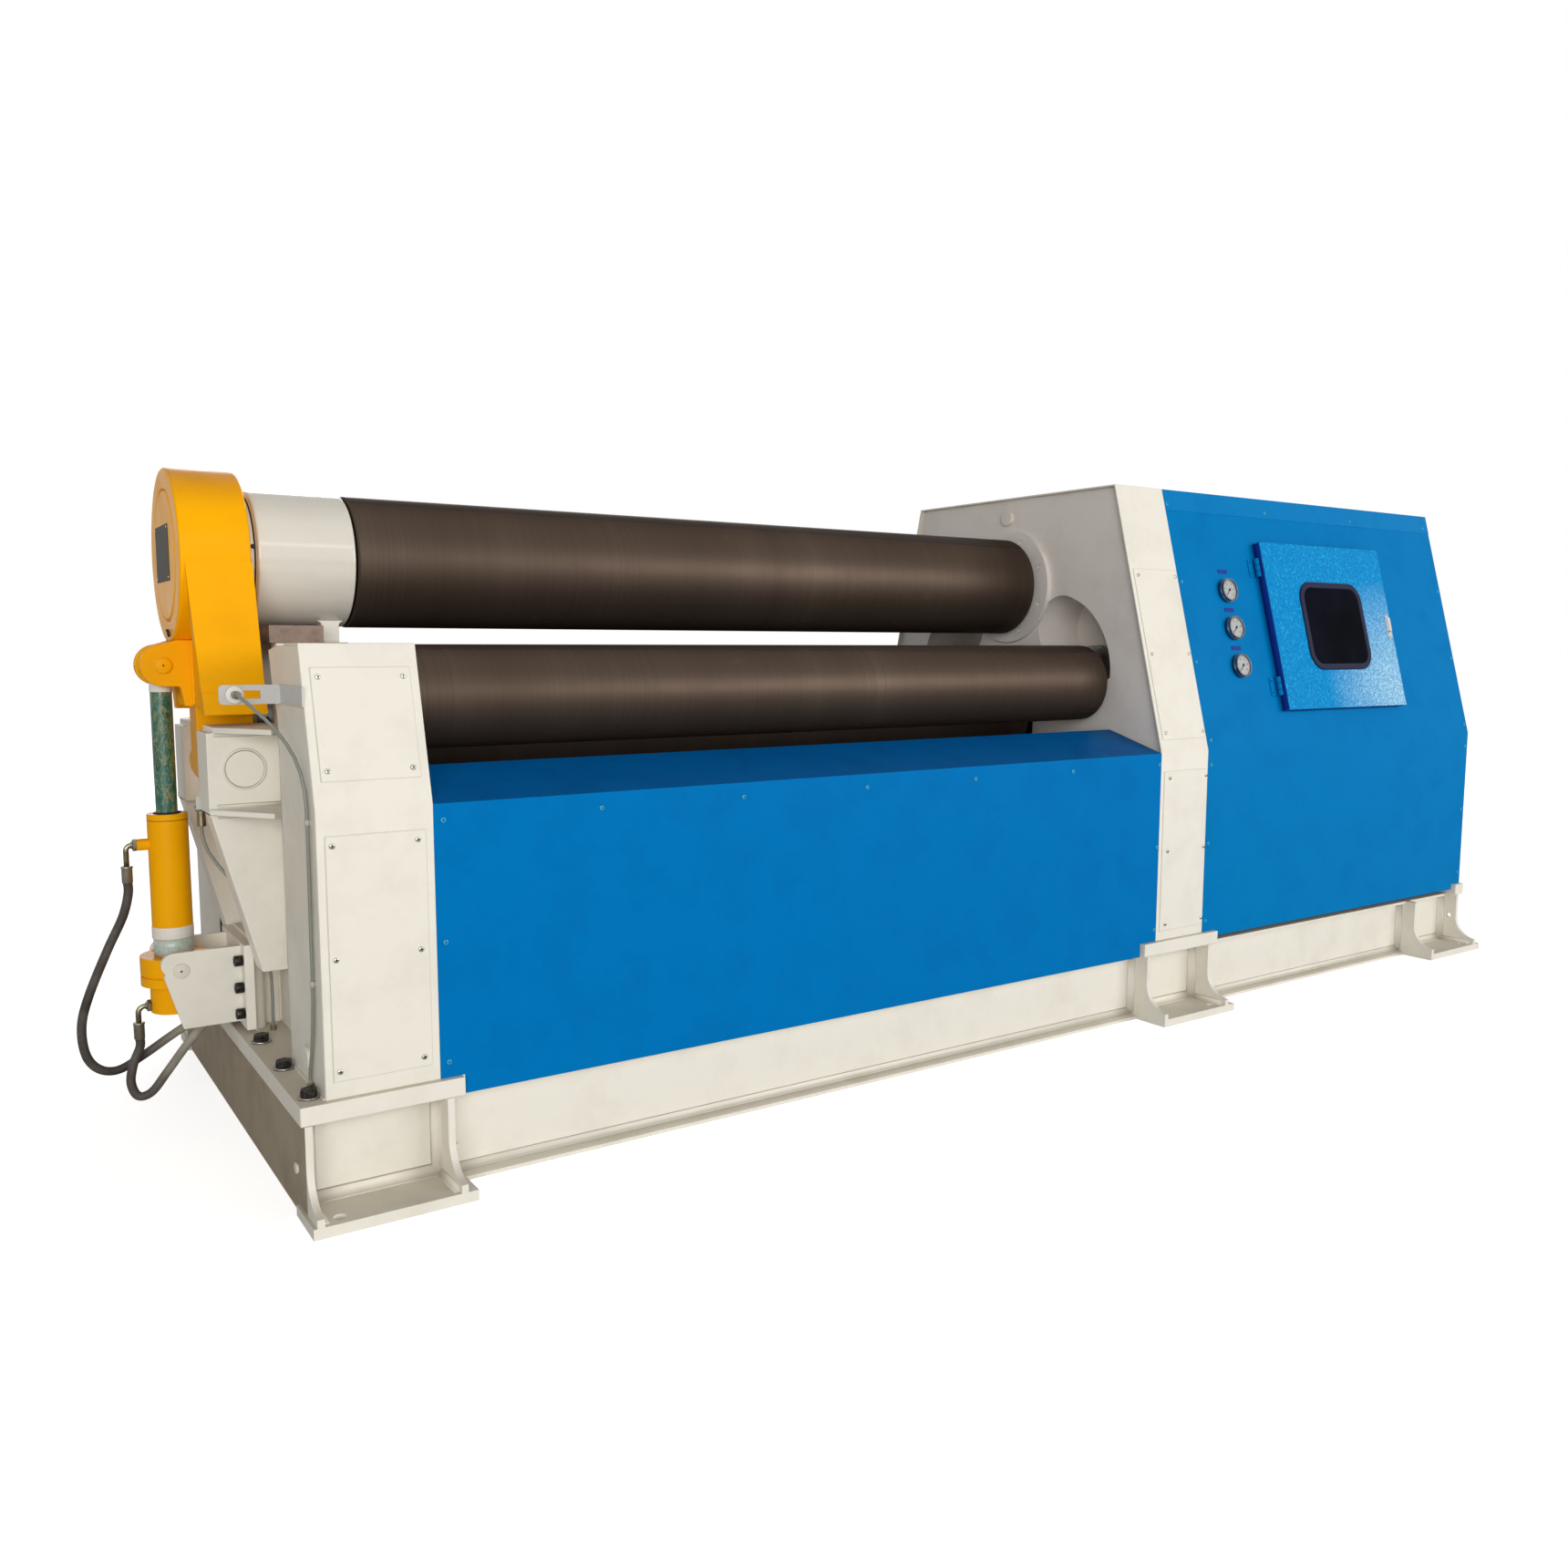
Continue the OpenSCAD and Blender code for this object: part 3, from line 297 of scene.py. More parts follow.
def front_and_rear(place):
    """A placement on the front of the machine, and the same on its rear."""
    origin, out, up = place.to_translation(), place.col[2].to_3d(), place.col[1].to_3d()
    return place, facing((origin.x, -origin.y, origin.z), (out.x, -out.y, out.z), (up.x, -up.y, up.z))


# ---- Finishes ----

def sprayed_enamel(name, colour, shade, roughness=0.34, grime=0.25, sheen=0.25):
    """Alkyd enamel sprayed over filled steel: orange peel, uneven plates, grime, and faces that look up
    darkened by dust and by painted shade.
    """
    material, shader = new_material(name, IOR=1.5, Specular_IOR_Level=sheen)
    place = add(material, "TexCoord", out="Object")
    # sheets bow a few tenths over half a metre, which bends their reflections
    bow = add(material, "TexNoise", {"Vector": place, "Scale": per_metre(420), "Detail": 1.0})
    # the real peel repeats in 2 mm, drawn at 9 mm so that it shows
    peel = add(material, "TexNoise", {"Vector": place, "Scale": per_metre(9), "Detail": 2.0})
    patches = add(material, "TexNoise", {"Vector": place, "Scale": per_metre(130), "Detail": 7.0,
                                         "Roughness": 0.62})
    dust = add(material, "MapRange", {"Value": patches, "From Min": 0.46, "From Max": 0.78, "To Min": 0.0,
                                      "To Max": grime})
    # faces that look up are darkened: partly settled dust, partly painted shade
    facing_up = add(material, "SeparateXYZ", {"Vector": add(material, "TexCoord", out="Normal")}, out="Z")
    top_dust_and_shade = add(material, "MapRange", {"Value": facing_up, "From Min": 0.5, "From Max": 0.95,
                                         "To Max": 0.75})
    dirt_and_shade = add(material, "Math", {0: dust, 1: top_dust_and_shade}, operation="ADD", use_clamp=True)
    tint = add(material, "Mix", {"Factor": dirt_and_shade, "A": srgb(colour), "B": srgb(shade)}, data_type="RGBA")
    gloss = add(material, "MapRange", {"Value": patches, "From Min": 0.3, "From Max": 0.7,
                                       "To Min": roughness - 0.05, "To Max": roughness + 0.09})
    waves = add(material, "Bump", {"Height": bow, "Distance": 0.004, "Strength": 0.25})
    grain = add(material, "Bump", {"Height": peel, "Distance": 0.0004, "Strength": 0.35, "Normal": waves})
    feed(material, shader, Base_Color=tint, Roughness=gloss, Normal=grain)
    return material


HIGHLIGHT_CORNER = (1.58, -0.62, 0.95)              # foot of the instrument door's free edge


def hammered_enamel():
    """Hammer-finish enamel on the instrument door: shallow dimples a few millimetres across, their glints
    painted in as lighter flecks, and a painted highlight on the lower outer corner.
    """
    material, shader = new_material("hammered_blue_enamel", IOR=1.5, Roughness=0.3, Specular_IOR_Level=0.03)
    place = add(material, "TexCoord", out="Object")
    # real dimples are 3 mm, drawn at 7 mm so that they show
    dimples = add(material, "TexVoronoi", {"Vector": place, "Scale": per_metre(7)}, feature="SMOOTH_F1")
    fleck = add(material, "TexNoise", {"Vector": place, "Scale": per_metre(4), "Detail": 3.0})
    glint = add(material, "Math", {0: dimples, 1: fleck}, operation="MULTIPLY")
    # the dimples' glints are painted into the colour as lighter blue
    tint = add(material, "ValToRGB", {"Fac": glint},
               stops=[(0.08, "#0078b8"), (0.24, "#008acb"), (0.50, "#2fb2e0")])
    # painted highlight on the lower outer corner: pale flecks where the door catches the light
    corner = add(material, "VectorMath", {0: place, 1: HIGHLIGHT_CORNER}, operation="DISTANCE", out="Value")
    pale_patches = add(material, "MapRange", {"Value": corner, "From Min": 0.05, "From Max": 0.38, "To Min": 1.0,
                                        "To Max": 0.0})
    flecks = add(material, "MapRange", {"Value": glint, "From Min": 0.10, "From Max": 0.36, "To Min": 0.3,
                                        "To Max": 1.0})
    painted_highlight = add(material, "Math", {0: pale_patches, 1: flecks}, operation="MULTIPLY")
    tint_and_highlight = add(material, "Mix", {"Factor": painted_highlight, "A": tint, "B": srgb("#b4dcee")}, data_type="RGBA")
    bump = add(material, "Bump", {"Height": dimples, "Distance": 0.0022, "Strength": 0.75})
    feed(material, shader, Base_Color=tint_and_highlight, Normal=bump)
    return material


def forged_roll():
    """Turned forged-steel roll under a brown rust-proofing oil: turning marks, smears and rubbed places."""
    material, shader = new_material("oiled_forged_steel", Metallic=0.65, Specular_IOR_Level=0.1,
                                    Specular_Tint=srgb("#4a3d34"))
    place = add(material, "TexCoord", out="Object")
    # the lathe's feed marks are under a millimetre, drawn at 5 mm so that they show
    stretched = add(material, "Mapping", {"Vector": place, "Scale": (per_metre(5), 1.2, 1.2)})
    marks = add(material, "TexNoise", {"Vector": stretched, "Scale": 1.0, "Detail": 3.0})
    # oil smears run round the roll in bands a hand or two wide
    bands = add(material, "Mapping", {"Vector": place, "Scale": (per_metre(190), 0.4, 0.4)})
    smears = add(material, "TexNoise", {"Vector": bands, "Scale": 1.0, "Detail": 4.0})
    blots = add(material, "TexNoise", {"Vector": place, "Scale": per_metre(90), "Detail": 6.0,
                                       "Roughness": 0.6})
    pale_patches = add(material, "MapRange", {"Value": blots, "From Min": 0.66, "From Max": 0.78, "To Max": 0.25})
    oil = add(material, "ValToRGB", {"Fac": smears},
              stops=[(0.3, "#4d4138"), (0.55, "#564940"), (0.75, "#5f5248")])
    fine = add(material, "Mix", {"Factor": marks, "A": srgb("#493d34"), "B": oil}, data_type="RGBA")
    tint = add(material, "Mix", {"Factor": pale_patches, "A": fine, "B": srgb("#76675d")}, data_type="RGBA")
    gloss = add(material, "MapRange", {"Value": blots, "From Min": 0.3, "From Max": 0.7, "To Min": 0.43,
                                       "To Max": 0.48})
    bump = add(material, "Bump", {"Height": marks, "Distance": 0.0004, "Strength": 0.15})
    feed(material, shader, Base_Color=tint, Roughness=gloss, Normal=bump)
    return material


def machined_steel(name, colour, dark, roughness=0.32, cut=3.0):
    """Bare machined or zinc-plated steel: cool reflections broken by fine tool marks and a few dull spots."""
    material, shader = new_material(name, Metallic=1.0)
    place = add(material, "TexCoord", out="Object")
    # tool marks are a tenth of a millimetre, drawn coarser so that they show
    marks = add(material, "TexNoise", {"Vector": place, "Scale": per_metre(cut), "Detail": 5.0})
    spots = add(material, "TexNoise", {"Vector": place, "Scale": per_metre(22), "Detail": 4.0})
    tint = add(material, "ValToRGB", {"Fac": spots}, stops=[(0.35, colour), (0.75, dark)])
    gloss = add(material, "MapRange", {"Value": spots, "From Min": 0.3, "From Max": 0.7,
                                       "To Min": roughness - 0.08, "To Max": roughness + 0.1})
    bump = add(material, "Bump", {"Height": marks, "Distance": 0.0002, "Strength": 0.3})
    feed(material, shader, Base_Color=tint, Roughness=gloss, Normal=bump)
    return material


def black_oxide():
    """Blackened alloy steel of the bolts and socket screws: near black, oily, with grey wear on its edges."""
    material, shader = new_material("black_oxide_steel", Metallic=0.6, Roughness=0.42)
    place = add(material, "TexCoord", out="Object")
    wear = add(material, "TexNoise", {"Vector": place, "Scale": per_metre(6), "Detail": 4.0})
    tint = add(material, "ValToRGB", {"Fac": wear}, stops=[(0.42, "#1b1a19"), (0.74, "#4d4944")])
    bump = add(material, "Bump", {"Height": wear, "Distance": 0.0003, "Strength": 0.3})
    feed(material, shader, Base_Color=tint, Normal=bump)
    return material


SPRAY_X0, SPRAY_X1 = -2.215, -2.120              # where the paint on the hoses starts, and where it is full


def hydraulic_hose():
    """Wire-braided hose in cloth-marked rubber: matt brown-black, rubbed grey, sprayed at one end."""
    material, shader = new_material("wrapped_rubber_hose", IOR=1.52, Roughness=0.6, Specular_IOR_Level=0.3)
    place = add(material, "TexCoord", out="Object")
    # the cover's cloth marks are 1 mm apart, drawn at 3 mm so that they show
    weave = add(material, "TexNoise", {"Vector": place, "Scale": per_metre(3), "Detail": 3.0})
    pale_patches = add(material, "TexNoise", {"Vector": place, "Scale": per_metre(55), "Detail": 5.0})
    tint = add(material, "ValToRGB", {"Fac": pale_patches}, stops=[(0.38, "#3a3531"), (0.7, "#5e5751")])
    # the bracket's cream paint has drifted over the last of the cover
    along = add(material, "SeparateXYZ", {"Vector": place}, out="X")
    drift = add(material, "MapRange", {"Value": along, "From Min": SPRAY_X0, "From Max": SPRAY_X1,
                                       "To Max": 1.5})
    spray = add(material, "Math", {0: drift, 1: pale_patches}, operation="MULTIPLY", use_clamp=True)
    sprayed = add(material, "Mix", {"Factor": spray, "A": tint, "B": srgb("#c9c2b2")}, data_type="RGBA")
    bump = add(material, "Bump", {"Height": weave, "Distance": 0.0006, "Strength": 0.5})
    feed(material, shader, Base_Color=sprayed, Normal=bump)
    return material


def moulded_plastic(name, colour, roughness=0.45, sheen=0.5):
    """Moulded or extruded plastic and rubber: even colour, soft sheen, faint mould texture."""
    material, shader = new_material(name, IOR=1.5, Specular_IOR_Level=sheen)
    place = add(material, "TexCoord", out="Object")
    # the mould's grain is under a millimetre, drawn at 5 mm so that it shows
    grain = add(material, "TexNoise", {"Vector": place, "Scale": per_metre(5), "Detail": 4.0})
    gloss = add(material, "MapRange", {"Value": grain, "To Min": roughness - 0.08,
                                       "To Max": roughness + 0.08})
    uneven = add(material, "MapRange", {"Value": grain, "To Min": 0.92, "To Max": 1.08})
    tint = add(material, "HueSaturation", {"Color": srgb(colour), "Value": uneven})
    bump = add(material, "Bump", {"Height": grain, "Distance": 0.0002, "Strength": 0.25})
    feed(material, shader, Base_Color=tint, Roughness=gloss, Normal=bump)
    return material


def stretch_film(name, stops):
    """Stretch film wound on for transport: mottled, creased along its length, with brown oil under it."""
    material, shader = new_material(name, IOR=1.49, Roughness=0.35, Coat_Weight=0.5, Coat_Roughness=0.15)
    place = add(material, "TexCoord", out="Object")
    # creases about 16 mm apart, drawn out to twice that along the film
    slanted = add(material, "Mapping", {"Vector": place, "Rotation": (0.5, 0.3, 0.0),
                                        "Scale": (1.0, 1.0, 0.45)})
    mottle = add(material, "TexNoise", {"Vector": slanted, "Scale": per_metre(16), "Detail": 8.0,
                                        "Roughness": 0.68, "Distortion": 1.2})
    tint = add(material, "ValToRGB", {"Fac": mottle}, stops=stops)
    bump = add(material, "Bump", {"Height": mottle, "Distance": 0.003, "Strength": 0.5})
    feed(material, shader, Base_Color=tint, Normal=bump)
    return material


def dark_pane():
    """Smoked safety glass, opaque: its nearly black colour is painted shade for the unlit controls behind it;
    sharp reflections.
    """
    material, shader = new_material("smoked_glass_and_painted_shade", IOR=1.52, Specular_IOR_Level=0.012)
    place = add(material, "TexCoord", out="Object")
    depth = add(material, "TexNoise", {"Vector": place, "Scale": per_metre(160), "Detail": 1.5})
    tint = add(material, "ValToRGB", {"Fac": depth}, stops=[(0.35, "#010208"), (0.7, "#090c1a")])
    dust = add(material, "TexNoise", {"Vector": place, "Scale": per_metre(35), "Detail": 5.0})
    gloss = add(material, "MapRange", {"Value": dust, "To Min": 0.05, "To Max": 0.14})
    feed(material, shader, Base_Color=tint, Roughness=gloss)
    return material


CREAM = sprayed_enamel("cream_enamel", "#e8e3d6", "#c2b9a8", 0.4, 0.3, 0.15)
# lighter copy of the cream for the brackets under the drop end: painted light
LIT_CREAM = sprayed_enamel("lit_cream_enamel", "#f4efe2", "#d0c8b8", 0.4, 0.3, 0.15)
# darker, browner copy of the cream for the left end beam's outer face: painted shade, with some dust
SHADED_DUSTY_CREAM = sprayed_enamel("shaded_dusty_cream_enamel", "#a59884", "#847763", 0.5, 0.7, 0.08)
GLOSSY_CREAM = sprayed_enamel("glossy_cream_enamel", "#dbd5c8", "#c9c1b2", 0.15, 0.2, 0.8)
BLUE = sprayed_enamel("blue_enamel", "#0076b5", "#00538e", 0.36, 0.25, 0.02)
# darker copy of the blue for the guards: painted shade
SHADED_BLUE = sprayed_enamel("shaded_blue_enamel", "#0071b4", "#004f8c", 0.36, 0.25, 0.02)
# lighter copy of the blue for the top sheet's lap: painted light
LIT_BLUE = sprayed_enamel("lit_blue_enamel", "#067ab9", "#005894", 0.34, 0.25, 0.03)
# lighter blue of the overpainted guard screws: painted highlight on their domes
LIT_SCREW_BLUE = sprayed_enamel("lit_overpainted_screw_enamel", "#3ba3c4", "#0c74a4", 0.3, 0.2, 0.3)
YELLOW = sprayed_enamel("yellow_orange_enamel", "#ffb200", "#dc9000", 0.34, 0.3, 0.1)
GREY = sprayed_enamel("stone_grey_enamel", "#ebe4dc", "#c8c0b4", 0.42, 0.35, 0.15)
PALE_GREY = sprayed_enamel("pale_grey_enamel", "#c9c8c3", "#a9a7a0", 0.4, 0.2)
# navy paint of the gauges' tags, also painted shade in the guard screws' recesses and round the door's sides
NAVY_AND_SHADE = sprayed_enamel("navy_enamel_and_painted_shade", "#17388f", "#122c70", 0.4, 0.2, 0.1)
HAMMERED = hammered_enamel()
ROLL = forged_roll()
BARE = machined_steel("machined_steel", "#a8a59e", "#7b766d")
YOKE_TINTED_STEEL = machined_steel("steel_with_painted_yoke_reflection", "#87766a", "#64564b", 0.38)
# machined steel of the slot cap, tinted warm by a painted reflection of the yellow yoke
OLIVE = machined_steel("olive_chromated_steel", "#a39b82", "#665e4b", 0.3, 2.0)
ZINC = machined_steel("zinc_plated_steel", "#cfccc4", "#9a958a", 0.26, 2.0)
SLEEVE = machined_steel("dull_plated_sleeve", "#a8a093", "#7d7466", 0.38, 2.0)
BEZEL = machined_steel("polished_bezel", "#85838a", "#4d4b54", 0.2, 9.0)
CHROME = machined_steel("chromed_steel", "#dadada", "#b4b4b4", 0.14, 2.0)
BLACKENED = black_oxide()
HOSE = hydraulic_hose()
SHEATH = moulded_plastic("grey_cable_sheath", "#84867d", 0.42)
GASKET = moulded_plastic("black_gasket_rubber", "#1d1f3a", 0.6, 0.15)
NYLON = moulded_plastic("grey_nylon", "#b5b2a9", 0.45)
# dark ring at the top roll's neck: painted shade of the gap there
GAP_SHADE = moulded_plastic("painted_gap_shade", "#332e29", 0.6, 0.05)
# line round the access plates: dust, and painted shade of their edges
SEAM_DUST_AND_SHADE = moulded_plastic("dust_and_shade_seam", "#ddd7ca", 0.8, 0.05)
TAPE = moulded_plastic("white_masking_tape", "#e9e4dc", 0.6)
DARK_PLATE = moulded_plastic("satin_black_enamel", "#34322a", 0.5, 0.08)
DIAL = moulded_plastic("printed_dial_card", "#a9abaa", 0.5)
# black print of the dials, also painted shade in screw recesses, pin centre holes, the hinge pin's joint and
# the key slot
PRINT_AND_SHADE = moulded_plastic("black_print_and_painted_shade", "#121212", 0.5, 0.2)
FILM = stretch_film("green_stretch_film", [(0.3, "#0b2f2b"), (0.42, "#1d5a4e"), (0.52, "#2e6f5e"),
                                           (0.56, "#a08f45"), (0.60, "#275a4c"), (0.72, "#123a34")])
PALE_FILM = stretch_film("pale_stretch_film", [(0.3, "#8fb39f"), (0.5, "#c3cfc3"), (0.7, "#9fb7b6")])
PANE = dark_pane()

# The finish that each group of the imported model's parts carries
PAINTED = [
    (SHADED_DUSTY_CREAM, "left_end_beam"),
    (CREAM, "front_beam rear_beam right_end_beam cross_beams front_feet rear_feet left_pad middle_pad "
            "right_pad left_column_cover left_end_plates right_column_cover column_access_plates "
            "round_plugs left_frame housing_support bracket_post"),
    (LIT_CREAM, "hinge_bracket_front hinge_bracket_rear hinge_pin cylinder_bracket"),
    (GLOSSY_CREAM, "roll_end_housing"),
    (SHADED_BLUE, "front_guard rear_guard"),
    (BLUE, "cabinet_front cabinet_rear cabinet_top cabinet_end"),
    (HAMMERED, "door_panel"),
    (YELLOW, "yoke_ring yoke_cover yoke_arms yoke_web yoke_clevis tilt_barrel"),
    (GREY, "right_frame top_bearing_flange"),
    (PALE_GREY, "instrument_box sensor_bracket"),
    (ROLL, "top_roll bottom_roll front_side_roll rear_side_roll"),
    (BARE, "bottom_blocks front_blocks rear_blocks"),
    (YOKE_TINTED_STEEL, "slot_cap"),
    (OLIVE, "sensor hose_unions port_fittings"),
    (BEZEL, "pressure_gauges"),
    (FILM, "tilt_rod"),
    (SHEATH, "sensor_cable"),
]
for finish, names in PAINTED:
    for name in names.split():
        NODES[name].data.materials.clear()
        NODES[name].data.materials.append(finish)


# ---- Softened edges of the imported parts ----

SAME_POINT = 0.00002                             # corners nearer than this are one
FLAT_ANGLE = math.radians(0.6)                   # faces nearer in line than this are one
EDGE_ANGLE = math.radians(35)                    # edges sharper than this are rounded


def soften(width, names):
    """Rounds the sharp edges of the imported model's parts as thick paint does."""
    for name in names.split():
        part = NODES[name]
        part.modifiers.new("weld", "WELD").merge_threshold = SAME_POINT
        flat = part.modifiers.new("flat", "DECIMATE")
        flat.decimate_type = "DISSOLVE"
        flat.angle_limit = FLAT_ANGLE
        edge = part.modifiers.new("edge", "BEVEL")
        edge.width = width
        edge.segments = 3
        edge.limit_method = "ANGLE"
        edge.angle_limit = EDGE_ANGLE
        edge.miter_outer = "MITER_ARC"
        part.modifiers.new("shade", "WEIGHTED_NORMAL").keep_sharp = False


soften(0.0025, "left_pad middle_pad right_pad front_feet rear_feet hinge_bracket_front hinge_bracket_rear "
               "yoke_arms yoke_web yoke_clevis housing_support slot_cap bracket_post left_end_beam "
               "right_end_beam")
soften(0.0015, "left_column_cover right_column_cover left_end_plates front_guard rear_guard cabinet_front "
               "cabinet_rear cabinet_top cabinet_end door_panel cylinder_bracket left_frame right_frame "
               "hinge_pin round_plugs tilt_barrel")
soften(0.007, "roll_end_housing yoke_ring yoke_cover")
soften(0.0006, "column_access_plates sensor_bracket top_bearing_flange pressure_gauges port_fittings "
               "hose_unions sensor")


# ---- The tilt cylinder's hoses ----

BARREL_PORT_ROUTE = [
    (-2.233, 0, 0.576), (-2.233, 0, 0.550), (-2.246, 0.002, 0.500), (-2.278, 0.008, 0.430),
    (-2.318, 0.016, 0.332), (-2.335, 0.020, 0.265), (-2.330, 0.022, 0.200), (-2.306, 0.024, 0.163),
    (-2.268, 0.025, 0.154), (-2.218, 0.025, 0.178), (-2.158, 0.025, 0.214), (-2.110, 0.025, 0.240),
    (-2.072, 0.025, 0.252), (-2.048, 0.025, 0.252)]
BASE_PORT_ROUTE = [
    (-2.226, 0, 0.226), (-2.226, 0, 0.206), (-2.241, -0.005, 0.172), (-2.249, -0.012, 0.132),
    (-2.237, -0.018, 0.101), (-2.210, -0.022, 0.106), (-2.178, -0.025, 0.146), (-2.138, -0.026, 0.198),
    (-2.102, -0.025, 0.238), (-2.072, -0.025, 0.252), (-2.048, -0.025, 0.252)]
HOSE_SIDES = 20
ROUTE_STEPS = 6                                  # from one point of a route to the next


def smooth_route(points):
    """The same curve through the route's points as the model's tube has."""
    points = [Vector(point) for point in points]
    last = len(points) - 1
    made = []
    for i in range(last):
        a, b, c, d = (points[min(max(k, 0), last)] for k in (i - 1, i, i + 1, i + 2))
        for k in range(ROUTE_STEPS):
            t = k / ROUTE_STEPS
            made.append(0.5 * (2 * b + (c - a) * t + (2 * a - 5 * b + 4 * c - d) * t * t
                               + (3 * b - a - 3 * c + d) * t * t * t))
    return made + [points[-1]]


def hose(name, route):
    """Hose swept along its route, from the barrel's port towards its fixed union."""
    path = smooth_route(route)
    part = Part()
    part.tube(path, HOSE_R, HOSE_SIDES)
    tube = part.piece(name, None, [HOSE], "hose_rubber")
    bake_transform(tube)
    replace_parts(tube, name.replace("rubber_", ""))


hose("rubber_barrel_port_hose", BARREL_PORT_ROUTE)
hose("rubber_base_port_hose", BASE_PORT_ROUTE)

ADAPTER_FLATS = 0.023                            # across the flats of the adapters at the ports
SLEEVE_LENGTH = 0.030
TUBE_R = 0.0058                                  # bent tube between an adapter and a sleeve


def elbow(part, boss_x, z, hose_x, sleeve_z, bend):
    """Hexagon adapter, tube bent down to the hose, and the sleeve pressed on the hose's end."""
    adapter = facing((boss_x, 0, z), (-1, 0, 0), UP)
    hexagon = circle(ADAPTER_FLATS / math.sqrt(3), 6, math.pi / 6)
    rings = [part.ring(adapter, [(x * s, y * s, out) for x, y in hexagon])
             for s, out in ((0.94, -0.001), (1, 0.0006), (1, 0.0070), (0.90, 0.0082))]
    part.skin(rings, 0, False)
    part.lathe(adapter, [(0.0082, 0.0080), (0.0082, 0.0105), (0.0070, 0.0115)])
    arc = [(hose_x + bend * (1 - math.sin(t)), 0, z - bend * (1 - math.cos(t)))
           for t in (math.pi / 2 * k / 10 for k in range(11))]
    straight = [(boss_x - 0.004, 0, z), (min(boss_x - 0.0075, arc[0][0] + 0.001), 0, z)]
    part.tube(straight + arc + [(hose_x, 0, sleeve_z + SLEEVE_LENGTH)], TUBE_R, HOSE_SIDES)
    part.lathe(facing((hose_x, 0, sleeve_z), UP, (1, 0, 0)), [
        (HOSE_R + 0.0008, -0.001), (HOSE_R + 0.0016, 0.0), (HOSE_R + 0.0016, SLEEVE_LENGTH),
        (HOSE_R + 0.0026, 0.0325), (HOSE_R + 0.0026, 0.0350), (HOSE_R + 0.0014, 0.0362),
        (0.0056, 0.0362)], 32, 1)


elbows = Part()
elbow(elbows, station(-0.222), 0.656, station(-0.243), 0.575, 0.011)
elbow(elbows, station(-0.210), 0.296, station(-0.236), 0.225, 0.014)
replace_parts(elbows.piece("port_elbows", "tilt_cylinder", [OLIVE, SLEEVE], "plated_steel"), "port_fittings")


# ---- Screws and bolts ----

HEAD_SIDES = 24                                  # a recess has one radius for each


def cross_recess(size):
    """Radii of a cross recess whose arms reach out that far."""
    arm = size * math.tan(math.pi / 12)
    spread = [(max(abs(c), 1e-6), max(abs(s), 1e-6)) for c, s in circle(1, HEAD_SIDES)]
    return [max(min(size / c, arm / s), min(arm / c, size / s)) for c, s in spread]


def hexagon_recess(size):
    """Radii of a hexagon recess, size being half its width across the flats."""
    angles = [2 * math.pi * k / HEAD_SIDES for k in range(HEAD_SIDES)]
    turns = [(angle + math.pi / 6) % (math.pi / 3) - math.pi / 6 for angle in angles]
    return [size / math.cos(turn) for turn in turns]


def screw_head(part, place, profile, recess, depth, floor_finish):
    """Turned head, from its seat up to the edge of its recess, with the recess sunk in its top."""
    part.lathe(place, profile, HEAD_SIDES, 0, (True, False))
    radius, top = profile[-1]
    mouth = [(r * c, r * s) for r, (c, s) in zip(recess, circle(1, HEAD_SIDES))]
    rim = part.ring(place, [(x, y, top) for x, y in circle(radius, HEAD_SIDES)])
    edge = part.ring(place, [(x, y, top) for x, y in mouth])
    floor = part.ring(place, [(x * 0.9, y * 0.9, top - depth) for x, y in mouth])
    part.skin([rim, edge], 0, False, OPEN)
    part.skin([edge, floor], floor_finish, False, (False, True))


def pan_screw(part, place, size=0.0055):
    """Domed screw head of that radius, its cross recess painted dark as shade."""
    screw_head(part, place, [(size, 0), (size, size * 0.16), (size * 0.93, size * 0.38),
                             (size * 0.76, size * 0.52), (size * 0.6, size * 0.56)],
               cross_recess(size * 0.5), size * 0.3, 1)


def socket_screw(part, place, radius, height):
    """Cylindrical screw head with a hexagon recess."""
    screw_head(part, place, [(radius, 0), (radius, height - radius * 0.12), (radius * 0.9, height),
                             (radius * 0.72, height)], hexagon_recess(radius * 0.5), height * 0.5, 0)


def hex_bolt(part, place, across, height, washer, thick):
    """Hexagon head with its chamfered corners, on a washer."""
    part.lathe(place, [(washer, 0), (washer, thick - 0.0006), (washer - 0.0006, thick),
                       (washer * 0.5, thick)], 40, 1)
    corner = across / math.sqrt(3)
    outline = circle(corner, 6, math.pi / 6)
    top = thick + height
    rings = [part.ring(place, [(x, y, thick) for x, y in outline]),
             part.ring(place, [(x, y, top - corner * 0.12) for x, y in outline]),
             part.ring(place, [(x * 0.88, y * 0.88, top) for x, y in outline])]
    part.skin(rings, 0, False)
    # raised ring on the head's top
    part.lathe(place, [(across * 0.36, top - 0.0004), (across * 0.36, top + 0.0004),
                       (across * 0.33, top + 0.0004), (across * 0.33, top - 0.0004)], 32, 0, OPEN)


# Screws of the access plates: on each column, the two upright rows and the heights in them
PLATE_T = 0.002
PLATE_SCREWS = [
    (on_slope, (0.030, 0.191), (1.030, 0.855)),
    (on_slope, (2.391, 2.556), (1.298, 1.068, 0.840)),
    (on_front, (0.028, 0.190), (0.717, 0.500, 0.2835)),
    (on_front, (2.397, 2.560), (0.7095, 0.495, 0.278)),
]
plate_screws = Part()
for put, rows, heights in PLATE_SCREWS:
    for x in rows:
        for z in heights:
            for place in front_and_rear(put(station(x), z, PLATE_T)):
                pan_screw(plate_screws, place)
plate_screws.piece("access_plate_screws", "machine", [ZINC, PRINT_AND_SHADE], "plated_steel")

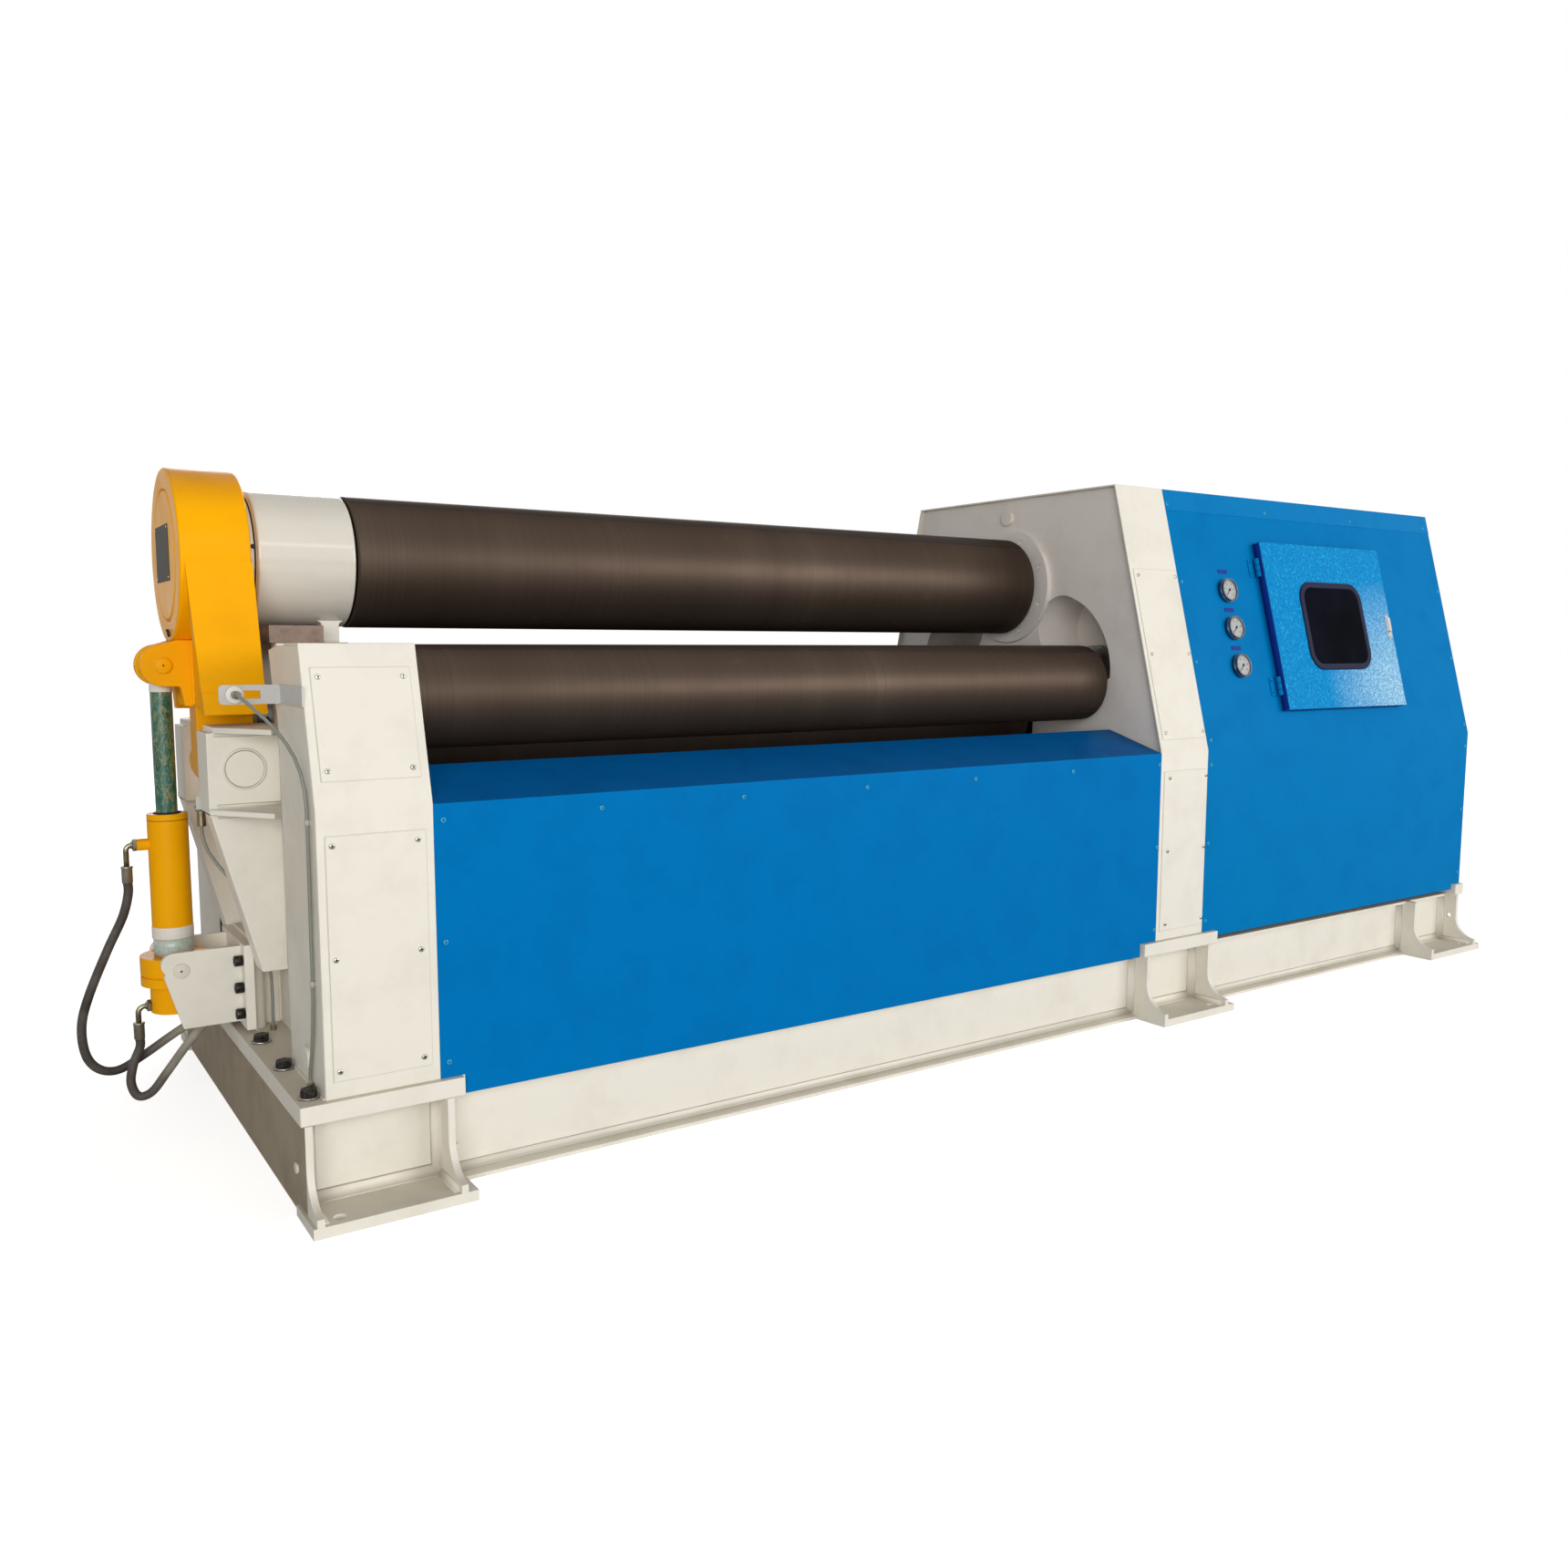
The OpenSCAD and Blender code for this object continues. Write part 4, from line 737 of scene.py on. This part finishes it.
# Screws of the guards and of the cabinet's panels, along the rolls and up
FLAT_SCREWS = [
    (0.241, 0.7505), (0.582, 0.7505), (0.935, 0.7505), (1.288, 0.7505), (1.639, 0.7505), (1.996, 0.7505),
    (2.352, 0.7505), (0.2395, 0.507), (0.2395, 0.2635), (2.351, 0.511), (2.351, 0.266),
    (2.584, 0.739), (2.584, 0.502), (2.584, 0.265), (4.014, 0.734), (4.014, 0.504), (4.014, 0.272)]
SLOPED_SCREWS = [
    (2.580, 1.521), (3.060, 1.521), (3.537, 1.521), (3.998, 1.521),
    (2.584, 1.285), (2.585, 1.044), (2.588, 0.812), (4.014, 1.290), (4.014, 1.049), (4.014, 0.812)]
CABINET_END = station(4.033)
guard_screws = Part()
for put, places in ((on_front, FLAT_SCREWS), (on_slope, SLOPED_SCREWS)):
    for x, z in places:
        for place in front_and_rear(put(station(x), z)):
            pan_screw(guard_screws, place)
for y in (-0.56, -0.28, 0, 0.28, 0.56):
    for z in (0.28, 0.74):
        pan_screw(guard_screws, on_side(CABINET_END, y, z, 1))
for y in (-0.40, 0, 0.40):
    pan_screw(guard_screws, on_side(CABINET_END, y, 1.50, 1))
# the guard screws' heads are painted lighter and their recesses darker: painted highlight and painted shade
guard_screws.piece("guard_and_cabinet_screws", "machine", [LIT_SCREW_BLUE, NAVY_AND_SHADE], "guard_paint")

FLANGE_FACE = station(2.367)
FLANGE_SCREW_R = 0.152                           # radius of the circle of screws
flange_screws = Part()
for y, up in circle(FLANGE_SCREW_R, 8, math.radians(22.5)):
    socket_screw(flange_screws, on_side(FLANGE_FACE, y, ROLL_Z + up), 0.0085, 0.005)
flange_screws.piece("bearing_flange_screws", "machine", [GREY], "frame_paint")

bracket_screws = Part()
for y in (-0.105, 0.105):
    for z in (0.395, 0.334, 0.275):
        socket_screw(bracket_screws, on_side(station(-0.036), y, z), 0.012, 0.018)
bracket_screws.piece("cylinder_bracket_screws", "machine", [BLACKENED], "black_oxide")

foot_bolts = Part()
for y in (-0.609, -0.405, -0.197, 0.197, 0.405, 0.609):
    hex_bolt(foot_bolts, facing(at(-0.022, y, PAD_Z), UP, (0.3, 1, 0)), 0.030, 0.014, 0.021, 0.004)
frame_bolts = foot_bolts.piece("hexagon_frame_bolts", "machine", [BLACKENED, BARE], "black_oxide")
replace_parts(frame_bolts, "frame_bolts")

neck_screw = Part()
socket_screw(neck_screw, facing(at(0.016, -0.1365, ROLL_Z + 0.019), FRONTWARDS, UP), 0.005, 0.005)
neck_screw.piece("neck_ring_screw", "machine", [BLACKENED], "black_oxide")

# dark ring between the neck and the housing's shoulder: painted shade of the gap
neck_gap_shade = Part()
neck_gap_shade.lathe(facing(at(0.0185, 0, ROLL_Z), (1, 0, 0), UP), [
    (0.1375, 0), (0.1386, 0), (0.1391, 0.0006), (0.1391, 0.0050), (0.1386, 0.0054), (0.1375, 0.0054)],
    96, 0, OPEN)
neck_gap_shade.piece("neck_gap_shade", "machine", [GAP_SHADE], "hose_rubber")


# ---- Welds ----

def fillet(part, start, end, a, b, radius):
    """Smoothed paint-filled weld along an inner corner whose faces run away along a and b."""
    start, end, a, b = at(*start), at(*end), Vector(a), Vector(b)
    rings = []
    for corner in (start, end):
        arc = [corner + radius * (a * (1 - math.sin(t)) + b * (1 - math.cos(t)))
               for t in (math.pi / 2 * k / 6 for k in range(7))]
        rings.append([part.mesh.verts.new(point) for point in arc + [corner - 0.0004 * (a + b)]])
    part.skin(rings)


def bead(part, start, end, radius):
    """Weld bead with the ripples of its passes, painted over."""
    start, end = at(*start), at(*end)
    # real ripples are 2 mm apart, drawn at 5 mm so that they show
    count = max(4, int((end - start).length / 0.0025))
    points = [start.lerp(end, k / count) for k in range(count + 1)]
    radii = [radius * (1 + (0.10 if k % 2 else -0.06) + random.uniform(-0.05, 0.05))
             for k in range(count + 1)]
    part.tube(points, lambda k: radii[k], 8)


FEET = [(-0.030, 0.230), (2.326, 2.586), (3.735, 3.995)]   # inner faces of each foot's gussets
WEB_SPANS = [(0.244, 2.312), (2.600, 3.721)]               # the web's open lengths between the feet
GUSSET_TOP = 0.193                                         # underside of the pads
WEB_SIDES = [(WEB_Y, FRONTWARDS), (-WEB_Y, REARWARDS)]
bed_fillets = Part()
for inner0, inner1 in FEET:
    for wall, out in WEB_SIDES:
        fillet(bed_fillets, (inner0, wall, FOOT_Z), (inner1, wall, FOOT_Z), out, UP, 0.020)
        for x, along in ((inner0, (1, 0, 0)), (inner1, (-1, 0, 0))):
            foot, head = (x, wall, FOOT_Z), (x, wall, GUSSET_TOP)
            fillet(bed_fillets, foot, (x, wall, 0.186), out, along, 0.018)
            fillet(bed_fillets, foot, (x, wall + out[1] * 0.118, FOOT_Z), along, UP, 0.012)
            fillet(bed_fillets, head, (x, wall + out[1] * 0.055, GUSSET_TOP), along, DOWN, 0.008)
for x0, x1 in WEB_SPANS:
    for wall, out in WEB_SIDES:
        fillet(bed_fillets, (x0, wall, 0.019), (x1, wall, 0.019), out, UP, 0.014)
        for x, along in ((x0, (1, 0, 0)), (x1, (-1, 0, 0))):
            fillet(bed_fillets, (x, wall, 0.018), (x, wall, 0.175), out, along, 0.016)
bed_fillets.piece("bed_weld_fillets", "machine", [CREAM], "frame_paint")

HINGE_X, HINGE_Z = -0.032, 0.829                           # hinge pin
CHEEK_Y = 0.200                                            # outer faces of the hinge brackets
bracket_beads = Part()
for side in (-1, 1):
    # hinge brackets on the column, and the cheeks on their flanges
    cheek, out = side * CHEEK_Y, (0, side, 0)
    for z, along in ((0.907, DOWN), (0.747, UP), (0.735, DOWN)):
        fillet(bracket_beads, (-0.090, cheek, z), (0.050, cheek, z), out, along, 0.009)
    for z0, z1 in ((0.385, 0.735), (0.747, 0.907)):
        fillet(bracket_beads, (0.050, cheek, z0), (0.050, cheek, z1), out, (-1, 0, 0), 0.012)
    # weld round the pin's end cap, with a dark line inside it: painted shade of the joint
    pin = facing(at(HINGE_X, cheek, HINGE_Z), out, UP)
    bracket_beads.lathe(pin, [(0.0392, -0.0005), (0.0392, 0.0026), (0.0402, 0.0040), (0.0420, 0.0044),
                              (0.0438, 0.0030), (0.0448, -0.0005)], 72, 0, OPEN)
    bracket_beads.lathe(pin, [(0.0380, 0.0004), (0.0380, 0.0008), (0.0396, 0.0008), (0.0396, 0.0004)],
                        72, 1, OPEN)
    # post behind the cylinder's bracket, end housing's support, and the column's cover on the pad
    bead(bracket_beads, (0.050, side * 0.060, 0.236), (0.050, side * 0.060, 0.430), 0.005)
    bead(bracket_beads, (-0.014, side * 0.100, PAD_Z), (-0.008, side * 0.100, PAD_Z), 0.004)
    bead(bracket_beads, (0.174, side * 0.062, 1.096), (0.208, side * 0.062, 1.096), 0.004)
    bead(bracket_beads, (0, side * 0.382, PAD_Z), (0, side * 0.640, PAD_Z), 0.004)
bead(bracket_beads, (0.172, -0.062, 1.096), (0.172, 0.062, 1.096), 0.004)
bracket_beads.piece("bracket_weld_beads", "machine", [CREAM, PRINT_AND_SHADE], "frame_paint")

yoke_beads = Part()
for side in (-1, 1):
    bead(yoke_beads, (-0.100, side * 0.159, 0.960), (-0.100, side * 0.159, 1.190), 0.005)
    for y in (0.032, 0.052):
        bead(yoke_beads, (-0.100, side * y, 0.962), (-0.100, side * y, 1.100), 0.004)
    bead(yoke_beads, (-0.070, side * 0.042, 0.960), (-0.070, side * 0.042, 1.110), 0.005)
yoke_beads.piece("yoke_weld_beads", "drop_end", [YELLOW], "yoke_paint")


# ---- Drop end ----

cover_plate = Part()
plate_place = on_side(station(-0.138), 0.018, 1.2865)
cover_plate.prism(plate_place, rounded_rectangle(0.166, 0.120, 0.003), 0, 0.0012, 0, 0.0003)
for x in (-0.076, 0.076):
    for y in (-0.053, 0.053):
        cover_plate.lathe(moved(plate_place, x, y, 0.0011), [(0.0028, 0), (0.0026, 0.0009), (0.0016, 0.0016)],
                          16, 1)
cover_plate.piece("blank_cover_plate", "drop_end", [DARK_PLATE, ZINC], "black_oxide")


def pin_end(part, x, y, z, outer, lathe_centre):
    """Turned end of a cross pin, its centre hole painted dark as shade, facing away from the machine's middle
    plane.
    """
    end = facing((x, y, z), (0, math.copysign(1, y), 0), UP)
    part.lathe(end, outer + [lathe_centre[0]], 40, 0, OPEN)
    part.lathe(end, lathe_centre, 16, 1, (False, True))


pin_marks = Part()
for side in (-1, 1):
    pin_end(pin_marks, LUG_X, side * 0.057, LUG_Z, [(0.0168, 0), (0.0168, 0.0010), (0.0155, 0.0018)],
            [(0.0020, 0.0018), (0.0003, 0.0002)])
grease_nipple = facing(at(-0.138, -0.020, 1.112), (-0.4, 0, 1), REARWARDS)
pin_marks.lathe(grease_nipple, [(0.0045, -0.004), (0.0045, 0.004), (0.003, 0.005), (0.003, 0.008),
                                (0.0038, 0.010), (0.0022, 0.0125)], 20, 2)
pin_marks.piece("lug_pin_heads", "drop_end", [YELLOW, PRINT_AND_SHADE, BLACKENED], "yoke_paint")

trunnion_marks = Part()
for side in (-1, 1):
    pin_end(trunnion_marks, LUG_X, side * 0.090, TRUNNION_Z,
            [(0.0164, -0.0019), (0.0164, 0.0005), (0.0154, 0.0010)], [(0.0022, 0.0010), (0.0006, 0.0002)])
trunnion_marks.piece("trunnion_pin_ends", "tilt_cylinder", [CREAM, PRINT_AND_SHADE], "frame_paint")

cylinder_axis = Matrix.Translation((LUG_X, 0, 0))
barrel_bands = Part()
# tape over the barrel's foot, film below it, the gland's dark joint, and the rod's wiper
barrel_bands.band(cylinder_axis, BARREL_R - 0.001, [
    (BARREL_R + 0.0006, 0.4455), (BARREL_R + 0.0009, 0.4465), (BARREL_R + 0.0009, 0.4705),
    (BARREL_R + 0.0006, 0.4715)])
barrel_bands.band(cylinder_axis, BARREL_R - 0.003, [
    (BARREL_R - 0.0014, 0.4073), (BARREL_R - 0.0008, 0.4170), (BARREL_R - 0.0015, 0.4280),
    (BARREL_R - 0.0008, 0.4450)], finish=1)
barrel_bands.band(cylinder_axis, BARREL_R - 0.001, [(BARREL_R + 0.0003, 0.7080), (BARREL_R + 0.0003, 0.7092)],
                  finish=2)
barrel_bands.band(cylinder_axis, ROD_R + 0.0012, [(ROD_R + 0.0062, 0.7219), (ROD_R + 0.0062, 0.7235),
                                                  (ROD_R + 0.0045, 0.7248)], 48, 3)
barrel_bands.piece("barrel_bands", "tilt_cylinder", [TAPE, PALE_FILM, PRINT_AND_SHADE, GASKET], "yoke_paint")

# the tape starts just clear of the barrel's end at full tilt
rod_tape = Part()
rod_tape.band(cylinder_axis, ROD_R - 0.0005, [
    (ROD_R + 0.0006, 0.9880), (ROD_R + 0.0010, 0.9888), (ROD_R + 0.0010, 1.0100), (ROD_R + 0.0006, 1.0108)])
rod_tape.piece("rod_tape", "tilt_rod", [TAPE], "wrapped_rod")


# ---- Sensors and their cables ----

cable_clips = Part()
for x, y, z in ((-0.007, -0.6135, 0.760), (-0.007, -0.608, 0.450), (0.020, -0.118, 0.400)):
    cable_clips.tube([at(x, y, z - 0.006), at(x, y, z + 0.006)], 0.0052, 20)
    cable_clips.prism(facing(at(x + 0.006, y, z), FRONTWARDS, UP), rounded_rectangle(0.010, 0.010, 0.002),
                      -0.002, 0.002)
cable_clips.piece("cable_clips", "machine", [NYLON], "plated_steel")

sensor_face = Part()
sensor_face.lathe(facing(at(-0.088, -0.380, 0.994), REARWARDS, UP),
                  [(0.0074, -0.001), (0.0074, 0.0008), (0.0066, 0.0016)], 32, 0)
sensor_face.lathe(facing(at(-0.101, -0.075, 0.757), UP, REARWARDS),
                  [(0.0084, -0.001), (0.0084, 0.0010), (0.0074, 0.0018)], 32, 1)
sensor_face.band(facing(at(-0.088, -0.424, 0.994), FRONTWARDS, UP), 0.0082,
                 [(0.0140, 0.0003), (0.0168, 0.0005), (0.0168, 0.0050), (0.0155, 0.0062)], 48)
sensor_face.piece("sensor_caps", "machine", [TAPE, GASKET], "plated_steel")


# ---- Instruments ----

ZERO_ANGLE = 225                                 # where the scales start and the pointers rest, in degrees
SWEEP = 270                                      # clockwise from there to the last mark
CARD_Z, INK_Z = 0.0156, 0.0158                   # faces of a dial's card and of its marks, out of the cabinet
NUMBER_R = 0.0200                                # radius of the circle of numbers
GAUGE_X = station(2.787)
TAG_SIZE = (0.046, 0.014, 0.002)                 # width, height and corner


def dial(part, place):
    """Printed card with its marks and pointer, behind the gauge's bezel."""
    part.lathe(place, [(0.0312, 0.0151), (0.0312, CARD_Z)], 64, 0)
    for k in range(51):
        angle = math.radians(ZERO_ANGLE - SWEEP * k / 50)
        long = 0.0052 if k % 10 == 0 else (0.0038 if k % 5 == 0 else 0.0022)
        wide = 0.0005 if k % 10 == 0 else 0.00025
        mark = moved(place @ Matrix.Rotation(angle, 4, "Z"), 0.0292 - long / 2, 0)
        part.prism(mark, [(-long / 2, -wide), (long / 2, -wide), (long / 2, wide), (-long / 2, wide)],
                   0.0155, INK_Z, 1)
    pointer = place @ Matrix.Rotation(math.radians(ZERO_ANGLE), 4, "Z")
    part.prism(pointer, [(-0.008, -0.0009), (0.004, -0.0012), (0.0255, -0.0003), (0.0255, 0.0003),
                         (0.004, 0.0012), (-0.008, 0.0009)], 0.0163, 0.0168, 1)
    part.lathe(place, [(0.0036, CARD_Z), (0.0036, 0.0174), (0.0028, 0.0180)], 24, 1)


def dial_number(part, text, place):
    """One printed number on a dial."""
    curve = bpy.data.curves.new("number", "FONT")
    curve.body = text
    curve.size = 0.0072
    curve.align_x, curve.align_y = "CENTER", "CENTER"
    holder = bpy.data.objects.new("number", curve)
    bpy.context.scene.collection.objects.link(holder)
    mesh = bpy.data.meshes.new_from_object(holder.evaluated_get(bpy.context.evaluated_depsgraph_get()))
    verts = part.ring(place, [vertex.co for vertex in mesh.vertices])
    for polygon in mesh.polygons:
        part.face([verts[i] for i in polygon.vertices], 1, False)
    bpy.data.objects.remove(holder)


dials, blank_tags = Part(), Part()
for z, tag_z in ((1.029, 1.085), (1.145, 1.203), (1.261, 1.322)):
    place = on_slope(GAUGE_X, z)
    dial(dials, place)
    for k in range(6):
        angle = math.radians(ZERO_ANGLE - SWEEP * k / 5)
        across, up = NUMBER_R * math.cos(angle), NUMBER_R * math.sin(angle)
        dial_number(dials, str(5 * k), moved(place, across, up, INK_Z))
    tag = on_slope(GAUGE_X, tag_z)
    blank_tags.prism(tag, rounded_rectangle(*TAG_SIZE), 0, 0.0010, 0, 0.0003)
    for x in (-0.019, 0.019):
        blank_tags.lathe(moved(tag, x, 0, 0.0009), [(0.0016, 0), (0.0014, 0.0006), (0.0006, 0.0010)], 12, 0)
dials.piece("gauge_dials", "machine", [DIAL, PRINT_AND_SHADE], "plated_steel")
blank_tags.piece("blank_gauge_tags", "machine", [NAVY_AND_SHADE], "guard_paint")


# ---- Cabinet's lap and the plates' seams ----

# bent edge of the cabinet's top sheet, lapped over its front and rear, in a lighter blue: painted light on the
# bent edge
LAP_LOW, LAP_HIGH = 1.503, 1.5650
LAP_X0, LAP_X1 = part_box("cabinet_front")[0].x + 0.001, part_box("cabinet_front")[1].x - 0.001
lap_outline = rounded_rectangle(LAP_X1 - LAP_X0, (LAP_HIGH - LAP_LOW) / math.cos(SLOPE), 0.0005, 2)
top_lap = Part()
for place in front_and_rear(on_slope((LAP_X0 + LAP_X1) / 2, (LAP_LOW + LAP_HIGH) / 2)):
    top_lap.prism(place, lap_outline, -0.0005, 0.0012, 0, 0.0003)
top_lap.piece("cabinet_top_lap", "machine", [LIT_BLUE], "guard_paint")

# dust line round each access plate, with painted shade of the plate's edge, SEAM_OUT beyond its edge
PLATE_W, SEAM_OUT = 0.190, 0.0015
RIGHT_PLATES_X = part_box("column_access_plates")[1].x - PLATE_W / 2
PLATES = [                                       # placement, middle, width and height
    (on_slope, station(0.111), 0.942, 0.188, 0.218),
    (on_front, station(0.111), 0.500, PLATE_W, 0.470),
    (on_slope, RIGHT_PLATES_X, 1.069, PLATE_W, 0.512),
    (on_front, RIGHT_PLATES_X, 0.494, PLATE_W, 0.470),
]
plate_seams = Part()
for put, x, z, width, height in PLATES:
    for place in front_and_rear(put(x, z)):
        plate_seams.rim(place, width + 2 * SEAM_OUT, height + 2 * SEAM_OUT, 0.002, [
            (0, 0.0001), (0, 0.0004), (0.0018, 0.0004), (0.0018, 0.0001)])
plate_seams.piece("access_plate_seams", "machine", [SEAM_DUST_AND_SHADE], "frame_paint")


# ---- Instrument door ----

DOOR_W, DOOR_H = 0.657, 0.546
DOOR_OUT = 0.0295                                # face of the door, out of the cabinet's front
SEAL_SIZE = (0.340, 0.294, 0.062)                # width, height and corner of the window's seal
PANE_SIZE = (0.302, 0.256, 0.044)                # and of its pane
HINGE_OUT = 0.080                                # from the door's edges to its hinges
door_centre = on_slope(station(2.961) + DOOR_W / 2, 1.150)

window_seal = Part()
window_seal.rim(door_centre, *SEAL_SIZE, [
    (0, DOOR_OUT - 0.001), (0, DOOR_OUT + 0.0025), (0.0012, DOOR_OUT + 0.0045), (0.0040, DOOR_OUT + 0.0056),
    (0.0080, DOOR_OUT + 0.0058), (0.0092, DOOR_OUT + 0.0050), (0.0100, DOOR_OUT + 0.0048),
    (0.0108, DOOR_OUT + 0.0054), (0.0150, DOOR_OUT + 0.0056), (0.0185, DOOR_OUT + 0.0046),
    (0.0200, DOOR_OUT + 0.0030), (0.0200, DOOR_OUT - 0.001)])
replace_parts(window_seal.piece("window_seal", "instrument_door", [GASKET], "window"), "door_window")

pane = Part()
pane.prism(door_centre, rounded_rectangle(*PANE_SIZE, WIDE_CORNER_STEPS), DOOR_OUT - 0.002, DOOR_OUT + 0.0028)
pane.piece("window_pane", "instrument_door", [PANE], "window")

# navy band round the door's sides: painted shade of the gap round the door
door_gap_shade = Part()
door_gap_shade.rim(door_centre, DOOR_W + 0.0008, DOOR_H + 0.0008, 0.003, [
    (0, 0.003), (0, DOOR_OUT - 0.0024), (0.0004, DOOR_OUT - 0.0016), (0.0014, DOOR_OUT - 0.0016),
    (0.0014, 0.003)])
door_gap_shade.piece("painted_door_gap_shade", "instrument_door", [NAVY_AND_SHADE], "guard_paint")

door_barrels, hinge_leaves = Part(), Part()
for y in (HINGE_OUT - DOOR_H / 2, DOOR_H / 2 - HINGE_OUT):
    axis = moved(door_centre, -DOOR_W / 2 - 0.008, y, 0.012) @ Matrix.Rotation(-math.pi / 2, 4, "X")
    for low, high in ((-0.0300, -0.0105), (-0.0098, 0.0098), (0.0105, 0.0300)):
        door_barrels.lathe(axis, [(0.0070, low), (0.0078, low + 0.0008), (0.0078, high - 0.0008),
                                  (0.0070, high)], 32)
    door_barrels.lathe(axis, [(0.0045, -0.0300), (0.0045, 0.0300)], 16)
    leaf = moved(door_centre, -DOOR_W / 2 - 0.026, y)
    hinge_leaves.prism(leaf, rounded_rectangle(0.026, 0.058, 0.003), 0.0002, 0.0030, 0, 0.0004)
    for up in (-0.019, 0.019):
        pan_screw(hinge_leaves, moved(leaf, -0.004, up, 0.0030), 0.0040)
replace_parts(door_barrels.piece("door_hinge_barrels", "instrument_door", [BLUE], "guard_paint"), "door_hinges")
hinge_leaves.piece("door_hinge_leaves", "machine", [BLUE, PRINT_AND_SHADE], "guard_paint")

# swing latch: plate, handle, and the lock's barrel with its key slot painted dark as shade
latch = Part()
latch_place = moved(door_centre, DOOR_W / 2 - 0.022, 0, DOOR_OUT)
lock_place = moved(latch_place, 0, -0.028)
latch.prism(latch_place, rounded_rectangle(0.024, 0.082, 0.010), 0, 0.0030, 0, 0.0010)
latch.prism(moved(latch_place, 0, 0.008), rounded_rectangle(0.015, 0.052, 0.006), 0.003, 0.0090, 0, 0.0020)
latch.lathe(lock_place, [(0.0080, 0.0028), (0.0080, 0.0050), (0.0070, 0.0060)], 32, 0)
latch.prism(lock_place, rounded_rectangle(0.0012, 0.0080, 0.0005, 2), 0.0058, 0.0062, 1)
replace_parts(latch.piece("door_swing_latch", "instrument_door", [CHROME, PRINT_AND_SHADE], "plated_steel"), "door_latch")


# ---- Floor and light ----

FLOOR_HALF = 40                                  # metres each way
WHITE = (1, 1, 1, 1)
# name, place, target, width and depth, watts
SOFTBOXES = [
    ("key_softbox", (-4.9, -7.1, 2.2), (-0.7, 0, 0.9), (5.0, 3.0), 272),
    ("fill_softbox", (4.5, -7.5, 2.6), (0.8, 0, 0.9), (5.0, 3.0), 335),
    ("strip_softbox", (-1.5, -6.0, 4.0), (-0.6, 0, 1.2), (8.0, 0.5), 30),
    ("top_softbox", (0.5, -1.0, 5.5), (0, 0, 0.6), (6.0, 4.0), 6),
    ("rear_softbox", (1.5, 7.0, 3.4), (0, 0, 0.8), (6.0, 3.0), 230),
]


def painted_floor():
    """Pale matt paint, brighter to camera rays, most of all far off, so that it meets the white behind."""
    material, shader = new_material("pale_painted_floor", Base_Color=srgb("#dddbd8"), Roughness=0.95,
                                    Specular_IOR_Level=0.0)
    seen = add(material, "LightPath", out="Is Camera Ray")
    place = add(material, "TexCoord", out="Object")
    distance = add(material, "VectorMath", {0: place}, out="Value", operation="LENGTH")
    reach = add(material, "MapRange", {"Value": distance, "From Min": 2.5, "From Max": 7.0,
                                       "To Min": 0.72, "To Max": 0.95})
    lift = add(material, "Math", {0: seen, 1: reach}, operation="MULTIPLY")
    feed(material, shader, Emission_Strength=lift)
    shader.inputs["Emission Color"].default_value = WHITE
    return material


def stage_floor():
    """Level ground under the machine, far wider than the view."""
    floor = Part()
    corners = [(-FLOOR_HALF, -FLOOR_HALF, 0), (FLOOR_HALF, -FLOOR_HALF, 0),
               (FLOOR_HALF, FLOOR_HALF, 0), (-FLOOR_HALF, FLOOR_HALF, 0)]
    floor.face(floor.ring(Matrix.Identity(4), corners), 0, False)
    floor.piece("floor", None, [painted_floor()])


def white_world():
    """White surroundings, full where seen, mirrored or looked through, and a quarter of that as light."""
    world = bpy.data.worlds.new("studio")
    world.use_nodes = True
    bpy.context.scene.world = world
    rays = add(world, "LightPath").node.outputs
    background = world.node_tree.nodes["Background"]
    either = add(world, "Math", {0: rays["Is Camera Ray"], 1: rays["Is Glossy Ray"]}, operation="MAXIMUM")
    shown = add(world, "Math", {0: either, 1: rays["Is Transmission Ray"]}, operation="MAXIMUM")
    strength = add(world, "MapRange", {"Value": shown, "To Min": 0.24, "To Max": 1.0})
    world.node_tree.links.new(strength, background.inputs["Strength"])
    background.inputs["Color"].default_value = WHITE


def softbox(name, origin, target, size, power):
    """Rectangular area lamp that looks at a target."""
    lamp = bpy.data.lights.new(name, "AREA")
    lamp.shape = "RECTANGLE"
    lamp.size, lamp.size_y = size
    lamp.energy = power
    box = bpy.data.objects.new(name, lamp)
    box.location = origin
    box.rotation_euler = (Vector(target) - Vector(origin)).to_track_quat("-Z", "Y").to_euler()
    bpy.context.scene.collection.objects.link(box)


stage_floor()
white_world()
for box in SOFTBOXES:
    softbox(*box)

scene = bpy.context.scene
scene.view_settings.view_transform = "Standard"
